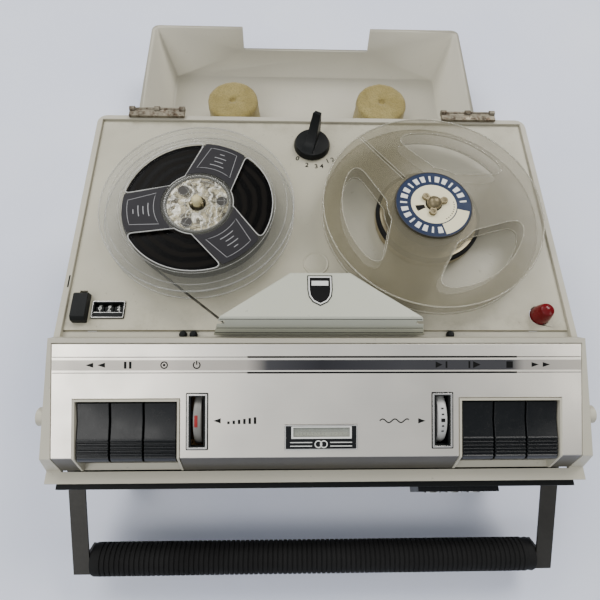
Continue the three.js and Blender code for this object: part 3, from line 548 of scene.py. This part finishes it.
# ---- CAD nodes: materials and soft edges --------------------------------------------------------
SLOT_OF = {s["node"]: s["material_slot"] for s in frame["record"]["subparts"]}
PLAIN_EDGE = 0.2
KEY_EDGE = 0.4
EDGE = {"lid_shell": 0, "top_frame": 0.7, "lower_shell": 0.8, "deck_plate": 0.15, "head_cover": 0.25,
        "control_panel": 0.3, "speed_knob": 0.5, "record_button": 0.3, "front_strip": 0.3,
        "key_bezel_left": 0.3, "key_bezel_right": 0.3, "track_slider": 0.4,
        "handle_arm_left": 0.35, "handle_arm_right": 0.35}
OWN = {"hinge_plate_left": RUSTY, "hinge_plate_right": RUSTY, "counter_housing": MATERIALS["satin_black"],
       "handle_arm_left": DARK_STEEL, "handle_arm_right": DARK_STEEL,
       "left_turntable": GOLDEN, "right_turntable": GOLDEN}
for name, obj in NODES.items():
    obj.data.materials.clear()
    obj.data.materials.append((OWN.get(name) or MATERIALS[SLOT_OF[name]]).material)
    if "custom_normal" in obj.data.attributes:
        obj.data.attributes.remove(obj.data.attributes["custom_normal"])
    weld = obj.modifiers.new("weld", "WELD")
    weld.merge_threshold = 2e-6
    smooth(obj, 30)
    is_key = name.startswith("key_") and "bezel" not in name
    width = KEY_EDGE if is_key else EDGE.get(name, PLAIN_EDGE)
    if width:
        bevelled(obj, width * MM, 3 if width > 0.35 else 2, 32)


# ---- deck: plug, posts, numerals, slots ---------------------------------------------------------
spun("deck_plug", [(0, 0.35), (6.6, 0.35), (7.4, 0.15), (7.9, 0.45), (8.5, 0.45), (8.8, 0.02)],
     MACHINE @ Matrix.Translation((-1.1, -125.9, 0)), MATERIALS["deck_paint"], "case")
for i, (x, y) in enumerate(((-86, -176.6), (-79.5, -176.6), (84, -176.6))):
    spun(f"trough_post_{i}", [(0, 1.9), (1.6, 1.75), (2.3, 1.1), (2.5, 0.2), (2.5, -1.2)],
         MACHINE @ Matrix.Translation((x, y, 0)), MATERIALS["satin_black"], "case", 24)
NUMERALS = (("0", -13, -38, -18), ("2", -6, -44, -8), ("3 4", 3, -45, 3), ("1 2", 11.5, -39.5, 20))
for i, (text, x, y, turn) in enumerate(NUMERALS):
    lettered(f"dial_numeral_{i}", text, 5.3,
             MACHINE @ Matrix.Translation((x, y, 0.03)) @ Matrix.Rotation(math.radians(turn), 4, "Z"),
             INK, "case", 0.12)
# Painted shade: a thin dark sheet on the rim stands for the dark inside of a slit.
prism("rim_slot_shade", rectangle(-163.1, -145, -162.1, -136.4), 2.0, 2.06, MACHINE, INK, "case")

# Counter: a thin frame round the window, numerals on the drums and a bright line.
frame_outside = rectangle(-145, -165.7, -124.6, -154.3, 0.6)
frame_inside = rectangle(-144.5, -165.2, -125.1, -154.8, 0.5)
mask_inside = rectangle(-143.7, -164.6, -125.9, -155.4, 0.3)
bordered("counter_frame", frame_outside, frame_inside, 0.92, 1.35, MACHINE, CHROME, "case", 0.1)
bordered("counter_mask", frame_inside, mask_inside, 0.92, 1.2, MACHINE, MATERIALS["satin_black"],
         "case", 0.08)
prism("counter_line", rectangle(-143.7, -162.35, -125.9, -161.85), 0.2, 1.0, MACHINE, CHROME,
      "case")
drum_low, drum_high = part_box("counter_drums")
drum_middle = (drum_low + drum_high) / 2
DRUM_R = 3.0
NARROW = Matrix.Scale(0.62, 4, (0, 1, 0))
for column, (x, first_turn) in enumerate(((-140.8, 0), (-134.8, 108), (-128.8, -72))):
    for digit in range(10):
        turn = math.radians(36 * digit + first_turn)
        place = (Matrix.Translation((x * MM, drum_middle.y, drum_middle.z)) @ Matrix.Rotation(turn, 4, "X")
                 @ Matrix.Translation((0, 0, DRUM_R * MM)) @ Matrix.Scale(MM, 4) @ NARROW)
        lettered(f"counter_numeral_{column}_{digit}", str(digit), 4.4, place, WHITE_INK,
                 "counter")


# ---- head cover: a plain shield and painted shade along its seams -------------------------------
BADGE = MACHINE @ Matrix.Translation((-0.5, -155.6, 22.5)) @ Matrix.Diagonal((1.42, 1.3, 1, 1))
shield = [(-5.4, 7.5), (5.4, 7.5), (5.4, 0), (4.9, -3.4), (3.2, -6.2), (0, -8), (-3.2, -6.2), (-4.9, -3.4),
          (-5.4, 0)]
prism("cover_badge", shield[::-1], 0.0, 0.35, BADGE, INK, "case", 0.1)
inner_shield = [(x * 0.82, y * 0.84) for x, y in shield]
edge_shield = [(x * 0.92, y * 0.93) for x, y in shield]
bordered("cover_badge_line", edge_shield[::-1], inner_shield[::-1], 0.35, 0.42, BADGE, WHITE_INK,
         "case")
prism("cover_badge_bar", rectangle(-3.6, 2.2, 3.6, 4.6), 0.35, 0.42, BADGE, WHITE_INK,
      "case")

# Painted shade: thin dark beads along the front face of the cover stand for the shade in its crease and
# moulded seams.
COVER_FOOT = (-177.1, 2)
COVER_RISE = (3.2, 19.7)
for i, share in enumerate((0.97, 0.42, 0.12)):
    y, z = (foot + rise * share for foot, rise in zip(COVER_FOOT, COVER_RISE))
    reach = 65.8 - 5.4 * share
    tube(f"cover_groove_shade_{i}", [(-reach, y, z), (0, y, z), (reach, y, z)], 0.2, MACHINE, GREY_LABEL,
         "case", closed=False, sides=6)


# ---- reels --------------------------------------------------------------------------------------
def quarter(start, sharp, end, steps=6):
    """A corner rounded along the curve that starts and ends tangent to its two sides."""
    points = []
    for i in range(1, steps):
        t = i / steps
        weights = ((1 - t) ** 2, 2 * t * (1 - t), t * t)
        points.append(tuple(sum(w * p[k] for w, p in zip(weights, (start, sharp, end))) for k in (0, 1)))
    return points


def window(inner, outer, inner_spread, outer_spread, corner, middle):
    """A reel window: rim arc, rounded corners, two straight sides and an arc at the hub; degrees and mm."""
    bend = math.degrees(corner / outer)
    low, high = middle - outer_spread, middle + outer_spread
    sharp_low, sharp_high = polar(outer, low), polar(outer, high)
    hub_low, hub_high = polar(inner, middle - inner_spread), polar(inner, middle + inner_spread)

    def along(sharp, hub):
        length = math.dist(sharp, hub)
        return tuple(s + (h - s) * corner / length for s, h in zip(sharp, hub))

    edge_low, edge_high = along(sharp_low, hub_low), along(sharp_high, hub_high)
    rim = arc(outer, low + bend, high - bend, 24)
    hub = arc(inner, middle + inner_spread, middle - inner_spread, 6)
    return (rim + quarter(rim[-1], sharp_high, edge_high) + [edge_high] + hub
            + [edge_low] + quarter(edge_low, sharp_low, rim[0]))


def beads(side, place, radius, windows, rim_paint, lip_paint, body):
    """Rounded lips along the rims and the windows of both flanges, coloured lighter than the flange plastic
    as painted highlights.
    """
    for level, z in (("upper", FLANGE_TOP - 0.1), ("lower", LOWER_TOP - 0.1)):
        rim = lift(arc(radius - 0.55, 0, 357, 119), z)
        tube(f"{side}_{level}_rim", rim, 0.55, place, rim_paint, body)
        for i, outline in enumerate(windows):
            paint = lip_paint if level == "upper" else rim_paint
            tube(f"{side}_{level}_window_{i}", lift(outline, z), 0.36, place, paint, body)


left_windows = [window(23.5, 49.5, 14.9, 41.8, 4.5, 10 + 120 * i) for i in range(3)]
right_windows = [window(31, 61, 13.75, 43.5, 13, -52 + 120 * i) for i in range(3)]
beads("left", LEFT_REEL, LEFT_R, left_windows, CLEAR_EDGE_HIGHLIGHT, CLEAR_LIP_HIGHLIGHT, "supply_reel")
beads("right", RIGHT_REEL, RIGHT_R, right_windows, AMBER_EDGE_HIGHLIGHT, AMBER_EDGE_HIGHLIGHT, "take_up_reel")
for i, radius in enumerate((51.2, 59)):
    tube(f"left_flange_step_{i}", lift(arc(radius, 0, 357, 119), FLANGE_TOP), 0.28, LEFT_REEL, CLEAR_EDGE_HIGHLIGHT,
         "supply_reel")
# The threading slot of the empty reel flares at the rim.
SLOT_TURN = Matrix.Rotation(math.radians(129), 3, "Z")
for i, side in enumerate((-1, 1)):
    line = [Vector((27.5 + 45 * k / 6, side * 1.1, FLANGE_TOP)) for k in range(7)]
    line.append(Vector((73.4, side * 2.2, FLANGE_TOP)))
    line = [SLOT_TURN @ point for point in line]
    tube(f"threading_slot_lip_{i}", line, 0.34, RIGHT_REEL, AMBER_EDGE_HIGHLIGHT, "take_up_reel",
         closed=False)

for i in range(3):
    middle = 70 + 120 * i
    fan = arc(48.8, middle - 17, middle + 17, 10) + arc(24.2, middle + 43, middle - 43, 16)
    prism(f"spoke_label_{i}", fan, FLANGE_TOP, FLANGE_TOP + 0.2, LEFT_REEL, GREY_LABEL,
          "supply_reel")
    frame_line = arc(45.5, middle - 12, middle + 12, 8) + arc(28.5, middle + 25, middle - 25, 8)
    tube(f"spoke_line_{i}", lift(frame_line, FLANGE_TOP + 0.22), 0.16, LEFT_REEL, LABEL_LINE,
         "supply_reel", sides=6, flat=0.4)
    for k in range(4):
        radius = 32 + 3.2 * k
        reach = 9 - 1.4 * k - 2.5 * (k % 2)
        bar = lift(arc(radius, middle - reach, middle + reach, 4), FLANGE_TOP + 0.22)
        tube(f"spoke_mark_{i}_{k}", bar, 0.28, LEFT_REEL, LABEL_LINE, "supply_reel", closed=False,
             sides=6, flat=0.3)

# Hub of the full reel: clear disc with three finger holes and ribs.
HUB_TOP = 21.6
spun("left_hub_rim", [(20.4, FLANGE_TOP), (20.9, 22.3), (21.8, 22.3), (22.3, FLANGE_TOP)], LEFT_REEL,
     CLEAR_EDGE_HIGHLIGHT, "supply_reel")
spun("left_hub_floor", [(5.6, 20.2), (20.2, 20.2), (20.2, 20.6), (5.6, 20.6)], LEFT_REEL, GLINTS,
     "supply_reel", ring=True)
for i, (away, angle) in enumerate(((14.2, 135), (16, 6), (15.8, -112))):
    x, y = polar(away, angle)
    place = LEFT_REEL @ Matrix.Translation((x, y, 0))
    spun(f"hub_hole_{i}", [(3.5, HUB_TOP), (3.8, 22.1), (4.2, 22.1), (4.4, FLANGE_TOP)], place, CLEAR_EDGE_HIGHLIGHT,
         "supply_reel", 32)
    spun(f"hub_hole_floor_{i}", [(0, 21.54), (3.5, 21.54), (3.5, FLANGE_TOP)], place, SMOKED,
         "supply_reel", 32)
for i in range(12):
    angle = 30 * i + 11
    low, high = polar(7.2, angle), polar(19.6, angle + (9 if i % 2 else -6))
    bent = ((low[0] + high[0]) / 2, (low[1] + high[1]) / 2 + 0.4)
    tube(f"hub_rib_{i}", lift([low, bent, high], HUB_TOP), 0.35, LEFT_REEL, CLEAR_EDGE_HIGHLIGHT,
         "supply_reel", closed=False, sides=6)
for i, radius in enumerate((8.0, 17.6)):
    tube(f"hub_ring_{i}", lift(arc(radius, 0, 354, 59), HUB_TOP), 0.35, LEFT_REEL, CLEAR_EDGE_HIGHLIGHT,
         "supply_reel", sides=6)
spun("left_spindle_tip", [(0, 27.6), (1.5, 27.45), (2.6, 26.9), (3.4, 25.6), (3.5, 22)], LEFT_REEL,
     AGED_CREAM, "supply_reel", 32)

# Hub and label of the empty reel.
spun("right_hub_sleeve", [(25.4, 11.3), (25.9, 11.5), (25.9, 19.6), (25.4, 19.8)], RIGHT_REEL, SMOKED,
     "take_up_reel")
LABEL_TOP = 22.6
spun("label_paper",
     [(5.5, LABEL_TOP), (5.5, LABEL_TOP + 0.06), (15.2, LABEL_TOP + 0.06), (15.2, LABEL_TOP)],
     RIGHT_REEL, CREAM_PRINT, "take_up_reel", ring=True)
prism("label_field", arc(23.8, -76, -14, 16) + arc(15.9, -14, -76, 12), LABEL_TOP, LABEL_TOP + 0.06,
      RIGHT_REEL, CREAM_PRINT, "take_up_reel")
tube("label_edge", lift(arc(25.3, 0, 357, 119), LABEL_TOP - 0.1), 0.35, RIGHT_REEL, SMOKED,
     "take_up_reel")
prism("label_notch", arc(12.6, 186, 207, 5) + arc(6.6, 207, 186, 3), LABEL_TOP + 0.06, LABEL_TOP + 0.12,
      RIGHT_REEL, INK, "take_up_reel")
for i in range(20):
    angle = 6 + i * 14.2
    half = 4.4 if i % 3 else 1.8
    dash = arc(22.4, angle - half, angle + half, 3) + arc(17.8, angle + half, angle - half, 3)
    prism(f"label_dash_{i}", dash, LABEL_TOP, LABEL_TOP + 0.05, RIGHT_REEL, WHITE_INK,
          "take_up_reel")
for i in range(9):
    angle = -58 + i * 8
    tick = arc(13.9, angle - 1.6, angle + 1.6, 2) + arc(13.2, angle + 1.6, angle - 1.6, 2)
    prism(f"label_tick_{i}", tick, LABEL_TOP + 0.06, LABEL_TOP + 0.1, RIGHT_REEL, INK,
          "take_up_reel")

# Three-armed spindle cap, round lobes on a round hub.
CAP_TURN = 16
LOBE_AWAY = 7.0
LOBE_R = 2.5
HUB_R = 4.9
lobes = []
for step in range(144):
    angle = 2.5 * step
    off = math.radians((angle - CAP_TURN + 60) % 120 - 60)
    across = LOBE_AWAY * math.sin(off)
    reach = HUB_R
    if abs(across) < LOBE_R and math.cos(off) > 0:
        reach = max(reach, LOBE_AWAY * math.cos(off) + math.sqrt(LOBE_R ** 2 - across ** 2))
    lobes.append(polar(reach, angle))
prism("spindle_cap", lobes, LABEL_TOP + 0.1, LABEL_TOP + 2.2, RIGHT_REEL, BRONZE, "take_up_reel",
      0.5)
spun("spindle_dome", [(0, 27.6), (1.8, 27.4), (3.4, 26.6), (4.4, 25.2), (4.7, 24.6)], RIGHT_REEL, BRONZE,
     "take_up_reel", 32)
for i in range(3):
    x, y = polar(LOBE_AWAY, CAP_TURN + 120 * i)
    spun(f"spindle_eye_{i}", [(0.5, 24.95), (1.1, 25.1), (1.5, 24.8)],
         RIGHT_REEL @ Matrix.Translation((x, y, 0)), BRONZE, "take_up_reel", 16)
for side, place, body in (("left", LEFT_REEL, "supply_reel"), ("right", RIGHT_REEL, "take_up_reel")):
    spun(f"{side}_turntable_mat", [(33.4, 9.1), (33.6, 9.45), (35.6, 9.4), (36.05, 8.6), (36.05, 6.5)],
         place, MATERIALS["rubber"], body)


# ---- control panel printing ---------------------------------------------------------------------
def printed(name, outline, paint=None, thick=0.05, base=0.0):
    return prism(name, outline, base, base + thick, PANEL, paint or INK, "case")


# Places on the panel are given as x and the distance s down its face.
MARK = 0.04
for i, s in enumerate((11.4, 20.9)):
    printed(f"pinstripe_{i}", rectangle(-161, -s - 0.22, 161, -s + 0.22), thick=0.03)
    printed(f"pinstripe_bold_{i}", rectangle(-44.5, -s - 0.55, 121, -s + 0.55), thick=0.04)
prism("printed_strip", rectangle(-161.2, -19.4, 161.2, -13.2), 0.0, MARK, PANEL, STRIP,
      "case")


def triangle(x, s, long, tall, way):
    back, tip = x - way * long / 2, x + way * long / 2
    return [(back, -s - tall / 2), (back, -s + tall / 2), (tip, -s)][::way]


def bar(name, x, s, wide, tall):
    printed(name, rectangle(x - wide / 2, -s - tall / 2, x + wide / 2, -s + tall / 2), base=MARK)


ICON_S = 16.2
for i, (x, way) in enumerate(((-139, -1), (-132, -1), (132.4, 1), (139.4, 1))):
    printed(f"wind_arrow_{i}", triangle(x, ICON_S, 4.6, 3.0, way), base=MARK)
for i, dx in enumerate((-1.5, 1.5)):
    bar(f"pause_mark_{i}", -116.2 + dx, ICON_S, 1.5, 4.2)
outside, inside = (shifted(arc(radius, 0, 354, 59), -94.5, -ICON_S) for radius in (2.3, 1.55))
bordered("input_mark", outside, inside, MARK, MARK + 0.05, PANEL, INK, "case")
printed("input_dot", shifted(arc(0.8, 0, 345, 23), -94.5, -ICON_S), base=MARK)
printed("power_mark", stroke(shifted(arc(2.0, 125, 415, 30), -75, -ICON_S), 0.75), base=MARK)
bar("power_bar", -75, ICON_S - 1.4, 0.75, 2.4)
printed("play_mark", triangle(72.6, ICON_S, 4.2, 4.0, 1), base=MARK)
bar("play_bar", 77.2, ICON_S, 1.1, 4.0)
printed("start_mark", triangle(96, ICON_S, 4.6, 4.2, 1), base=MARK)
bar("start_bar", 91.4, ICON_S, 1.1, 4.2)
bar("stop_mark", 116.4, ICON_S, 4.0, 4.0)
printed("volume_arrow", triangle(-62.6, 49.8, 4.4, 3.2, -1))
printed("tone_arrow", triangle(61.9, 50.4, 4.4, 3.2, 1))
for i in range(6):
    printed(f"volume_bar_{i}", rectangle(-56.5 + 3.2 * i, -51.8, -55.0 + 3.2 * i, -50.2 + 0.5 * i))
wave = [(36 + 0.5 * i, -50.3 + 1.1 * math.sin(i * 0.42)) for i in range(37)]
printed("tone_wave", stroke(wave, 0.75))

# Frames round the thumbwheel windows, each with a bright lip on a black surround.
for side, x in (("volume", -74.6), ("tone", 74.6)):
    surround = rectangle(x - 6.7, -67.3, x + 6.7, -32.9, 0.6)
    lip_outside = rectangle(x - 6.1, -66.7, x + 6.1, -33.5, 0.5)
    lip_inside = rectangle(x - 5.0, -65.6, x + 5.0, -34.6, 0.4)
    wall_outside = rectangle(x - 5.2, -65.8, x + 5.2, -34.4, 0.4)
    wall_inside = rectangle(x - 3.9, -65.0, x + 3.9, -35.2, 0.4)
    bordered(f"{side}_window_edge", surround, lip_outside, 0.0, 0.2, PANEL, INK, "case")
    bordered(f"{side}_window_lip", lip_outside, lip_inside, 0.0, 0.6, PANEL, CHROME, "case", 0.15)
    bordered(f"{side}_window_wall", wall_outside, wall_inside, -2.6, 0.3, PANEL, MATERIALS["satin_black"],
             "case", 0.1)

# A printed mark stands just proud of the wheel and reaches down through its knurling.
WHEEL_R = 16.95
MARK_R = 17.02
MARK_ROOT_R = 16.5


def thumbwheel(body, paint, half, marks):
    """Knurled wheel, 2 x half wide at its edge; a mark is (degrees, half turn, left, right, ink)."""
    low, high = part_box(body + "_wheel")
    middle = (low + high) / 2
    place = Matrix.Translation(middle) @ ALONG_X
    teeth = 90
    verts, faces = [], []
    section = [(2.5, -7), (2.5, -half), (15.2, -half), (16.4, 0.3 - half), (WHEEL_R, 1.1 - half)]
    section += [(r, -z) for r, z in section[::-1]]
    knurled = (4, 5)
    for i in range(teeth * 2):
        a = math.pi * i / teeth
        for k, (r, z) in enumerate(section):
            radius = r - (0.35 if i % 2 and k in knurled else 0)
            verts.append((radius * math.cos(a), radius * math.sin(a), z))
    count = len(section)
    for i in range(teeth * 2):
        a, b = i * count, ((i + 1) % (teeth * 2)) * count
        faces += [[a + k, b + k, b + k + 1, a + k + 1] for k in range(count - 1)]
    faces += [[i * count for i in range(teeth * 2)], [i * count + count - 1 for i in range(teeth * 2)]]
    wheel = piece(body + "_wheel_knurled", verts, faces, place, paint, body)
    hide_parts(body + "_wheel")
    for i, (degrees, half_turn, left, right, ink) in enumerate(marks):
        rows = []
        for step in range(5):
            a = math.radians(180 + degrees + half_turn * (step - 2) / 2)
            rows.append([(math.cos(a), math.sin(a), z) for z in (left, right)])
        points = [(r * x, r * y, z) for r in (MARK_R, MARK_ROOT_R) for row in rows for x, y, z in row]
        skin = []
        for step in range(4):
            a, b = 2 * step, 2 * step + 2
            skin += [[a, b, b + 1, a + 1], [a + 10, a + 11, b + 11, b + 10]]
            skin += [[a, a + 10, b + 10, b], [a + 1, b + 1, b + 11, a + 11]]
        skin += [[0, 1, 11, 10], [8, 18, 19, 9]]
        piece(f"{body}_mark_{i}", points, skin, place, ink, body)


WHEEL_GREY = aged("wheel_grey", (0.20, 0.195, 0.18), 0.4, 0.12, 0.15, 1500, 0.1)
WHEEL_PALE = aged("wheel_pale", (0.50, 0.50, 0.48), 0.4, 0.08, 0.15, 1500, 0.1)
thumbwheel("volume", WHEEL_GREY, 2.5, [(21, 12, -1.4, 0.5, RED_INK)])
ticks = [(turn, 1.5, -0.7, 0.7, INK) for turn in (-3, 9, 33, 45)]
thumbwheel("tone", WHEEL_PALE, 2.9, [(21, 3.6, -1.2, 1.2, INK), *ticks])

# Meter: bright rim, window frame, glass, scale ticks and a plain two-ring mark below.
METER_TOP = 0.9
rim_outside = rectangle(-21.9, -67.5, 22.4, -52.2, 0.4)
rim_inside = rectangle(-21.1, -66.7, 21.6, -53.0, 0.3)
bordered("meter_rim", rim_outside, rim_inside, 0.0, METER_TOP + 0.15, PANEL, CHROME, "case", 0.1)
glass_outside = rectangle(-17.8, -60.6, 18.8, -53.2, 0.3)
glass_inside = rectangle(-16.6, -59.5, 17.6, -53.9, 0.2)
bordered("meter_window_frame", glass_outside, glass_inside, METER_TOP, METER_TOP + 0.3,
         PANEL, WHITE_INK, "case", 0.08)
prism("meter_glass", rectangle(-16.7, -59.5, 17.7, -53.7), 0.1, 0.5, PANEL, GLASS, "case")
prism("meter_scale", rectangle(-17.5, -60.3, 18.5, -57.6), -2.4, -2.1, PANEL, CREAM_PRINT,
      "case")
for i in range(13):
    x = -13 + 2.2 * i
    tick = rectangle(x - 0.15, -59.0, x + 0.15, -57.8 if i % 3 else -57.6)
    ink, slot = (RED_INK, "red_plastic") if i > 9 else (INK, "satin_black")
    prism(f"meter_tick_{i}", tick, -2.1, -2.05, PANEL, ink, "case")
for i, x in enumerate((-1.4, 1.9)):
    circle = lift(shifted(arc(2.0, 0, 350, 35), x, -64.0), METER_TOP + 0.02)
    tube(f"meter_ring_{i}", circle, 0.32, PANEL, WHITE_INK, "case", sides=6, flat=0.4)
for i, (a, b) in enumerate(((-18.5, -5.2), (5.7, 19))):
    for k, s in enumerate((62.9, 65.1)):
        printed(f"meter_line_{i}_{k}", rectangle(a, -s - 0.25, b, -s + 0.25), WHITE_INK, 0.05, METER_TOP)


# ---- foam pads ----------------------------------------------------------------------------------
FOAM_STEP = 0.0016
PORE = 0.00045
WAVE = 0.0007


def foam_pad(side):
    """Cut foam cylinder: a crowned face with a pressed hole, uneven walls, glued flat at its base."""
    low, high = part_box("foam_pad_" + side)
    middle = (low + high) / 2
    radius = (high.x - low.x) / 2
    height = high.z - low.z
    shift = Vector((3.1 if side == "left" else 9.7, 0, 0))
    # (share of the radius, share of the height), from the glued base up to the dimple
    profile = [(0, 0), (0.96, 0), (0.985, 0.04), (0.975, 0.3), (0.96, 0.6), (0.965, 0.86),
               (0.945, 0.945), (0.90, 0.985), (0.8, 1.0), (0.6, 1.0), (0.3, 0.995), (0.17, 0.98),
               (0.125, 0.95), (0.1, 0.905), (0.05, 0.89), (0, 0.885)]
    steps = 96
    verts, faces, fine = [], [], []
    for (r0, z0), (r1, z1) in zip(profile, profile[1:]):
        parts = max(1, int(math.hypot((r1 - r0) * radius, (z1 - z0) * height) / FOAM_STEP))
        fine += [(r0 + (r1 - r0) * k / parts, z0 + (z1 - z0) * k / parts) for k in range(parts)]
    fine.append(profile[-1])
    count = len(fine)
    for i in range(steps):
        a = 2 * math.pi * i / steps
        for r, z in fine:
            point = Vector((r * radius * math.cos(a), r * radius * math.sin(a), z * height))
            if z > 0:
                point += PORE * noise.noise_vector(point * 260 + shift)
                point += WAVE * noise.noise_vector(point * 60)
            verts.append(point + Vector((middle.x, middle.y, low.z)))
    for i in range(steps):
        a, b = i * count, ((i + 1) % steps) * count
        faces += [[a + k, b + k, b + k + 1, a + k + 1] for k in range(count - 1)]
    pad = piece(f"foam_pad_{side}_soft", verts, faces, Matrix.Identity(4), MATERIALS["foam"], "lid",
                degrees=70)
    for vertex in pad.data.vertices:
        for axis in range(3):
            vertex.co[axis] = min(max(vertex.co[axis], low[axis]), high[axis])
    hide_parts("foam_pad_" + side)
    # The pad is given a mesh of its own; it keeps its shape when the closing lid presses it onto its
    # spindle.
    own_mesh(pad)


foam_pad("left")
foam_pad("right")


# ---- hinges, handle, sockets, inlet --------------------------------------------------------------
for side, x in (("left", -1), ("right", 1)):
    for i, dx in enumerate((-12, 12)):
        spun(f"hinge_rivet_{side}_{i}", [(0, 5.3), (1.2, 5.2), (1.8, 4.9), (2.0, 4.55)],
             MACHINE @ Matrix.Translation((x * HINGE_X + dx, -0.3, 0)), RUSTY, "case", 20)
    low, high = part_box("handle_pivot_" + side)
    place = (Matrix.Translation((high.x if x > 0 else low.x, (low.y + high.y) / 2, (low.z + high.z) / 2))
             @ Matrix.Rotation(x * math.pi / 2, 4, "Y") @ Matrix.Scale(MM, 4))
    spun(f"pivot_dimple_{side}", [(1.2, -0.4), (1.7, -0.06), (3.9, -0.03), (4.4, -0.3)], place, CHROME,
         "case", 32)

grip_low, grip_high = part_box("handle_grip")
half = (grip_high.x - grip_low.x) / 2 / MM
# Rounded ends and a groove every 3.4 mm.
profile = [(0, -half), (8.6, -half), (10.2, -half + 0.8), (10.8, -half + 2.4)]
z = -half + 5.0
while z < half - 6.5:
    profile += [(10.9, z), (10.9, z + 2.2), (10.2, z + 2.6), (10.2, z + 3.0)]
    z += 3.4
profile += [(10.8, half - 2.4), (10.2, half - 0.8), (8.6, half), (0, half)]
place = Matrix.Translation((grip_low + grip_high) / 2) @ ALONG_X
grip = spun("handle_grip_ribbed", profile, place, MATERIALS["rubber"], "handle", 48)
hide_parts("handle_grip")

for i, x in enumerate((77, 91.5, 106)):
    place = MACHINE @ Matrix.Translation((x, -269.5, -54)) @ Matrix.Rotation(math.pi / 2, 4, "X")
    spun(f"socket_ring_{i}", [(4.4, -0.1), (4.7, 0.35), (5.5, 0.35), (5.9, -0.1)], place, CHROME,
         "case", 40)
    for k in range(5):
        px, py = polar(2.6, 90 + 72 * k)
        spun(f"socket_pin_{i}_{k}", [(0, -1.6), (0.55, -1.6), (0.7, -1.9)],
             place @ Matrix.Translation((px, py, 0)), CHROME, "case", 12)
for i, x in enumerate((-99, -91)):
    place = MACHINE @ Matrix.Translation((x, 2.1, -88)) @ Matrix.Rotation(-math.pi / 2, 4, "X")
    spun(f"inlet_pin_{i}", [(0, 0.5), (1.2, 0.3), (1.85, -0.3), (1.85, -4.5)], place, CHROME,
         "case", 20)


# ---- floor, light, camera -----------------------------------------------------------------------
floor_paint = Paint("floor", (0.70, 0.715, 0.76), 0.6)
floor_paint.colored(floor_paint.ramp(floor_paint.noise(5, 4), (0.765, 0.81, 0.96), (0.825, 0.865, 0.985)))
floor_paint.bump(floor_paint.noise(14, 4, rough=0.6), 0.35, 0.004)
floor_mesh = bpy.data.meshes.new("floor")
floor_mesh.from_pydata([(-6, -6, 0), (6, -6, 0), (6, 6, 0), (-6, 6, 0)], [], [(0, 1, 2, 3)])
floor = bpy.data.objects.new("floor", floor_mesh)
floor_mesh.materials.append(floor_paint.material)
SCENE.collection.objects.link(floor)

world = bpy.data.worlds.new("world")
SCENE.world = world
world.use_nodes = True
world_nodes, world_links = world.node_tree.nodes, world.node_tree.links
backdrop = world_nodes["Background"]
backdrop.inputs["Strength"].default_value = 1.0
# The room is brightest up to the left behind the camera and dim near the horizon and to the right.
room = world_nodes.new("ShaderNodeTexCoord").outputs["Generated"]
facing = world_nodes.new("ShaderNodeVectorMath")
facing.operation = "DOT_PRODUCT"
facing.inputs[1].default_value = Vector((-0.5, -0.35, 0.79)).normalized()
world_links.new(room, facing.inputs[0])
glow = world_nodes.new("ShaderNodeValToRGB")
for element, place, tone in zip(glow.color_ramp.elements, (0.25, 0.9), (0.12, 0.90)):
    element.position = place
    element.color = (0.93 * tone, 0.96 * tone, tone, 1)
world_links.new(facing.outputs["Value"], glow.inputs["Fac"])
world_links.new(glow.outputs["Color"], backdrop.inputs["Color"])


def area(name, place, target, size, energy, color):
    light = bpy.data.lights.new(name, "AREA")
    light.shape = "RECTANGLE"
    light.size, light.size_y = size
    light.energy = energy
    light.color = color
    obj = bpy.data.objects.new(name, light)
    obj.location = place
    obj.rotation_euler = (Vector(target) - Vector(place)).to_track_quat("-Z", "Y").to_euler()
    SCENE.collection.objects.link(obj)


area("window", (-1.2, 1.4, 1.9), (0, 0, 0.1), (1.6, 1.2), 33, (1.0, 0.99, 0.97))
area("far_window", (1.1, 1.1, 1.8), (0, 0, 0.1), (1.0, 0.8), 31, (1.0, 0.98, 0.95))
area("ceiling", (-1.0, -0.85, 1.5), (0, -0.1, 0.1), (0.9, 0.9), 10, (1.0, 0.98, 0.95))
area("lamp", (1.45, -0.75, 1.45), (0, -0.1, 0.1), (0.7, 0.7), 5, (1.0, 0.98, 0.94))

# The camera stands in front and looks steeply down; pitch is below the horizon.
CAMERA_PLACE = (-0.020709, -0.207055, 0.406014)
PITCH, YAW, ROLL = (math.radians(v) for v in (67.305, -4.212, -4.017))
turn = Matrix.Rotation(YAW, 3, "Z")
forward = turn @ Vector((0, math.cos(PITCH), -math.sin(PITCH)))
right = turn @ Vector((1, 0, 0))
down = turn @ Vector((0, -math.sin(PITCH), -math.cos(PITCH)))
right, down = (math.cos(ROLL) * right + math.sin(ROLL) * down,
               -math.sin(ROLL) * right + math.cos(ROLL) * down)
camera = bpy.data.objects.new("camera", bpy.data.cameras.new("camera"))
camera.data.sensor_width = 36
camera.data.lens = 27.93
camera.data.clip_start = 0.01
axes = Matrix((right, -down, -forward)).transposed().to_4x4()
camera.matrix_world = Matrix.Translation(CAMERA_PLACE) @ axes
SCENE.collection.objects.link(camera)
SCENE.camera = camera
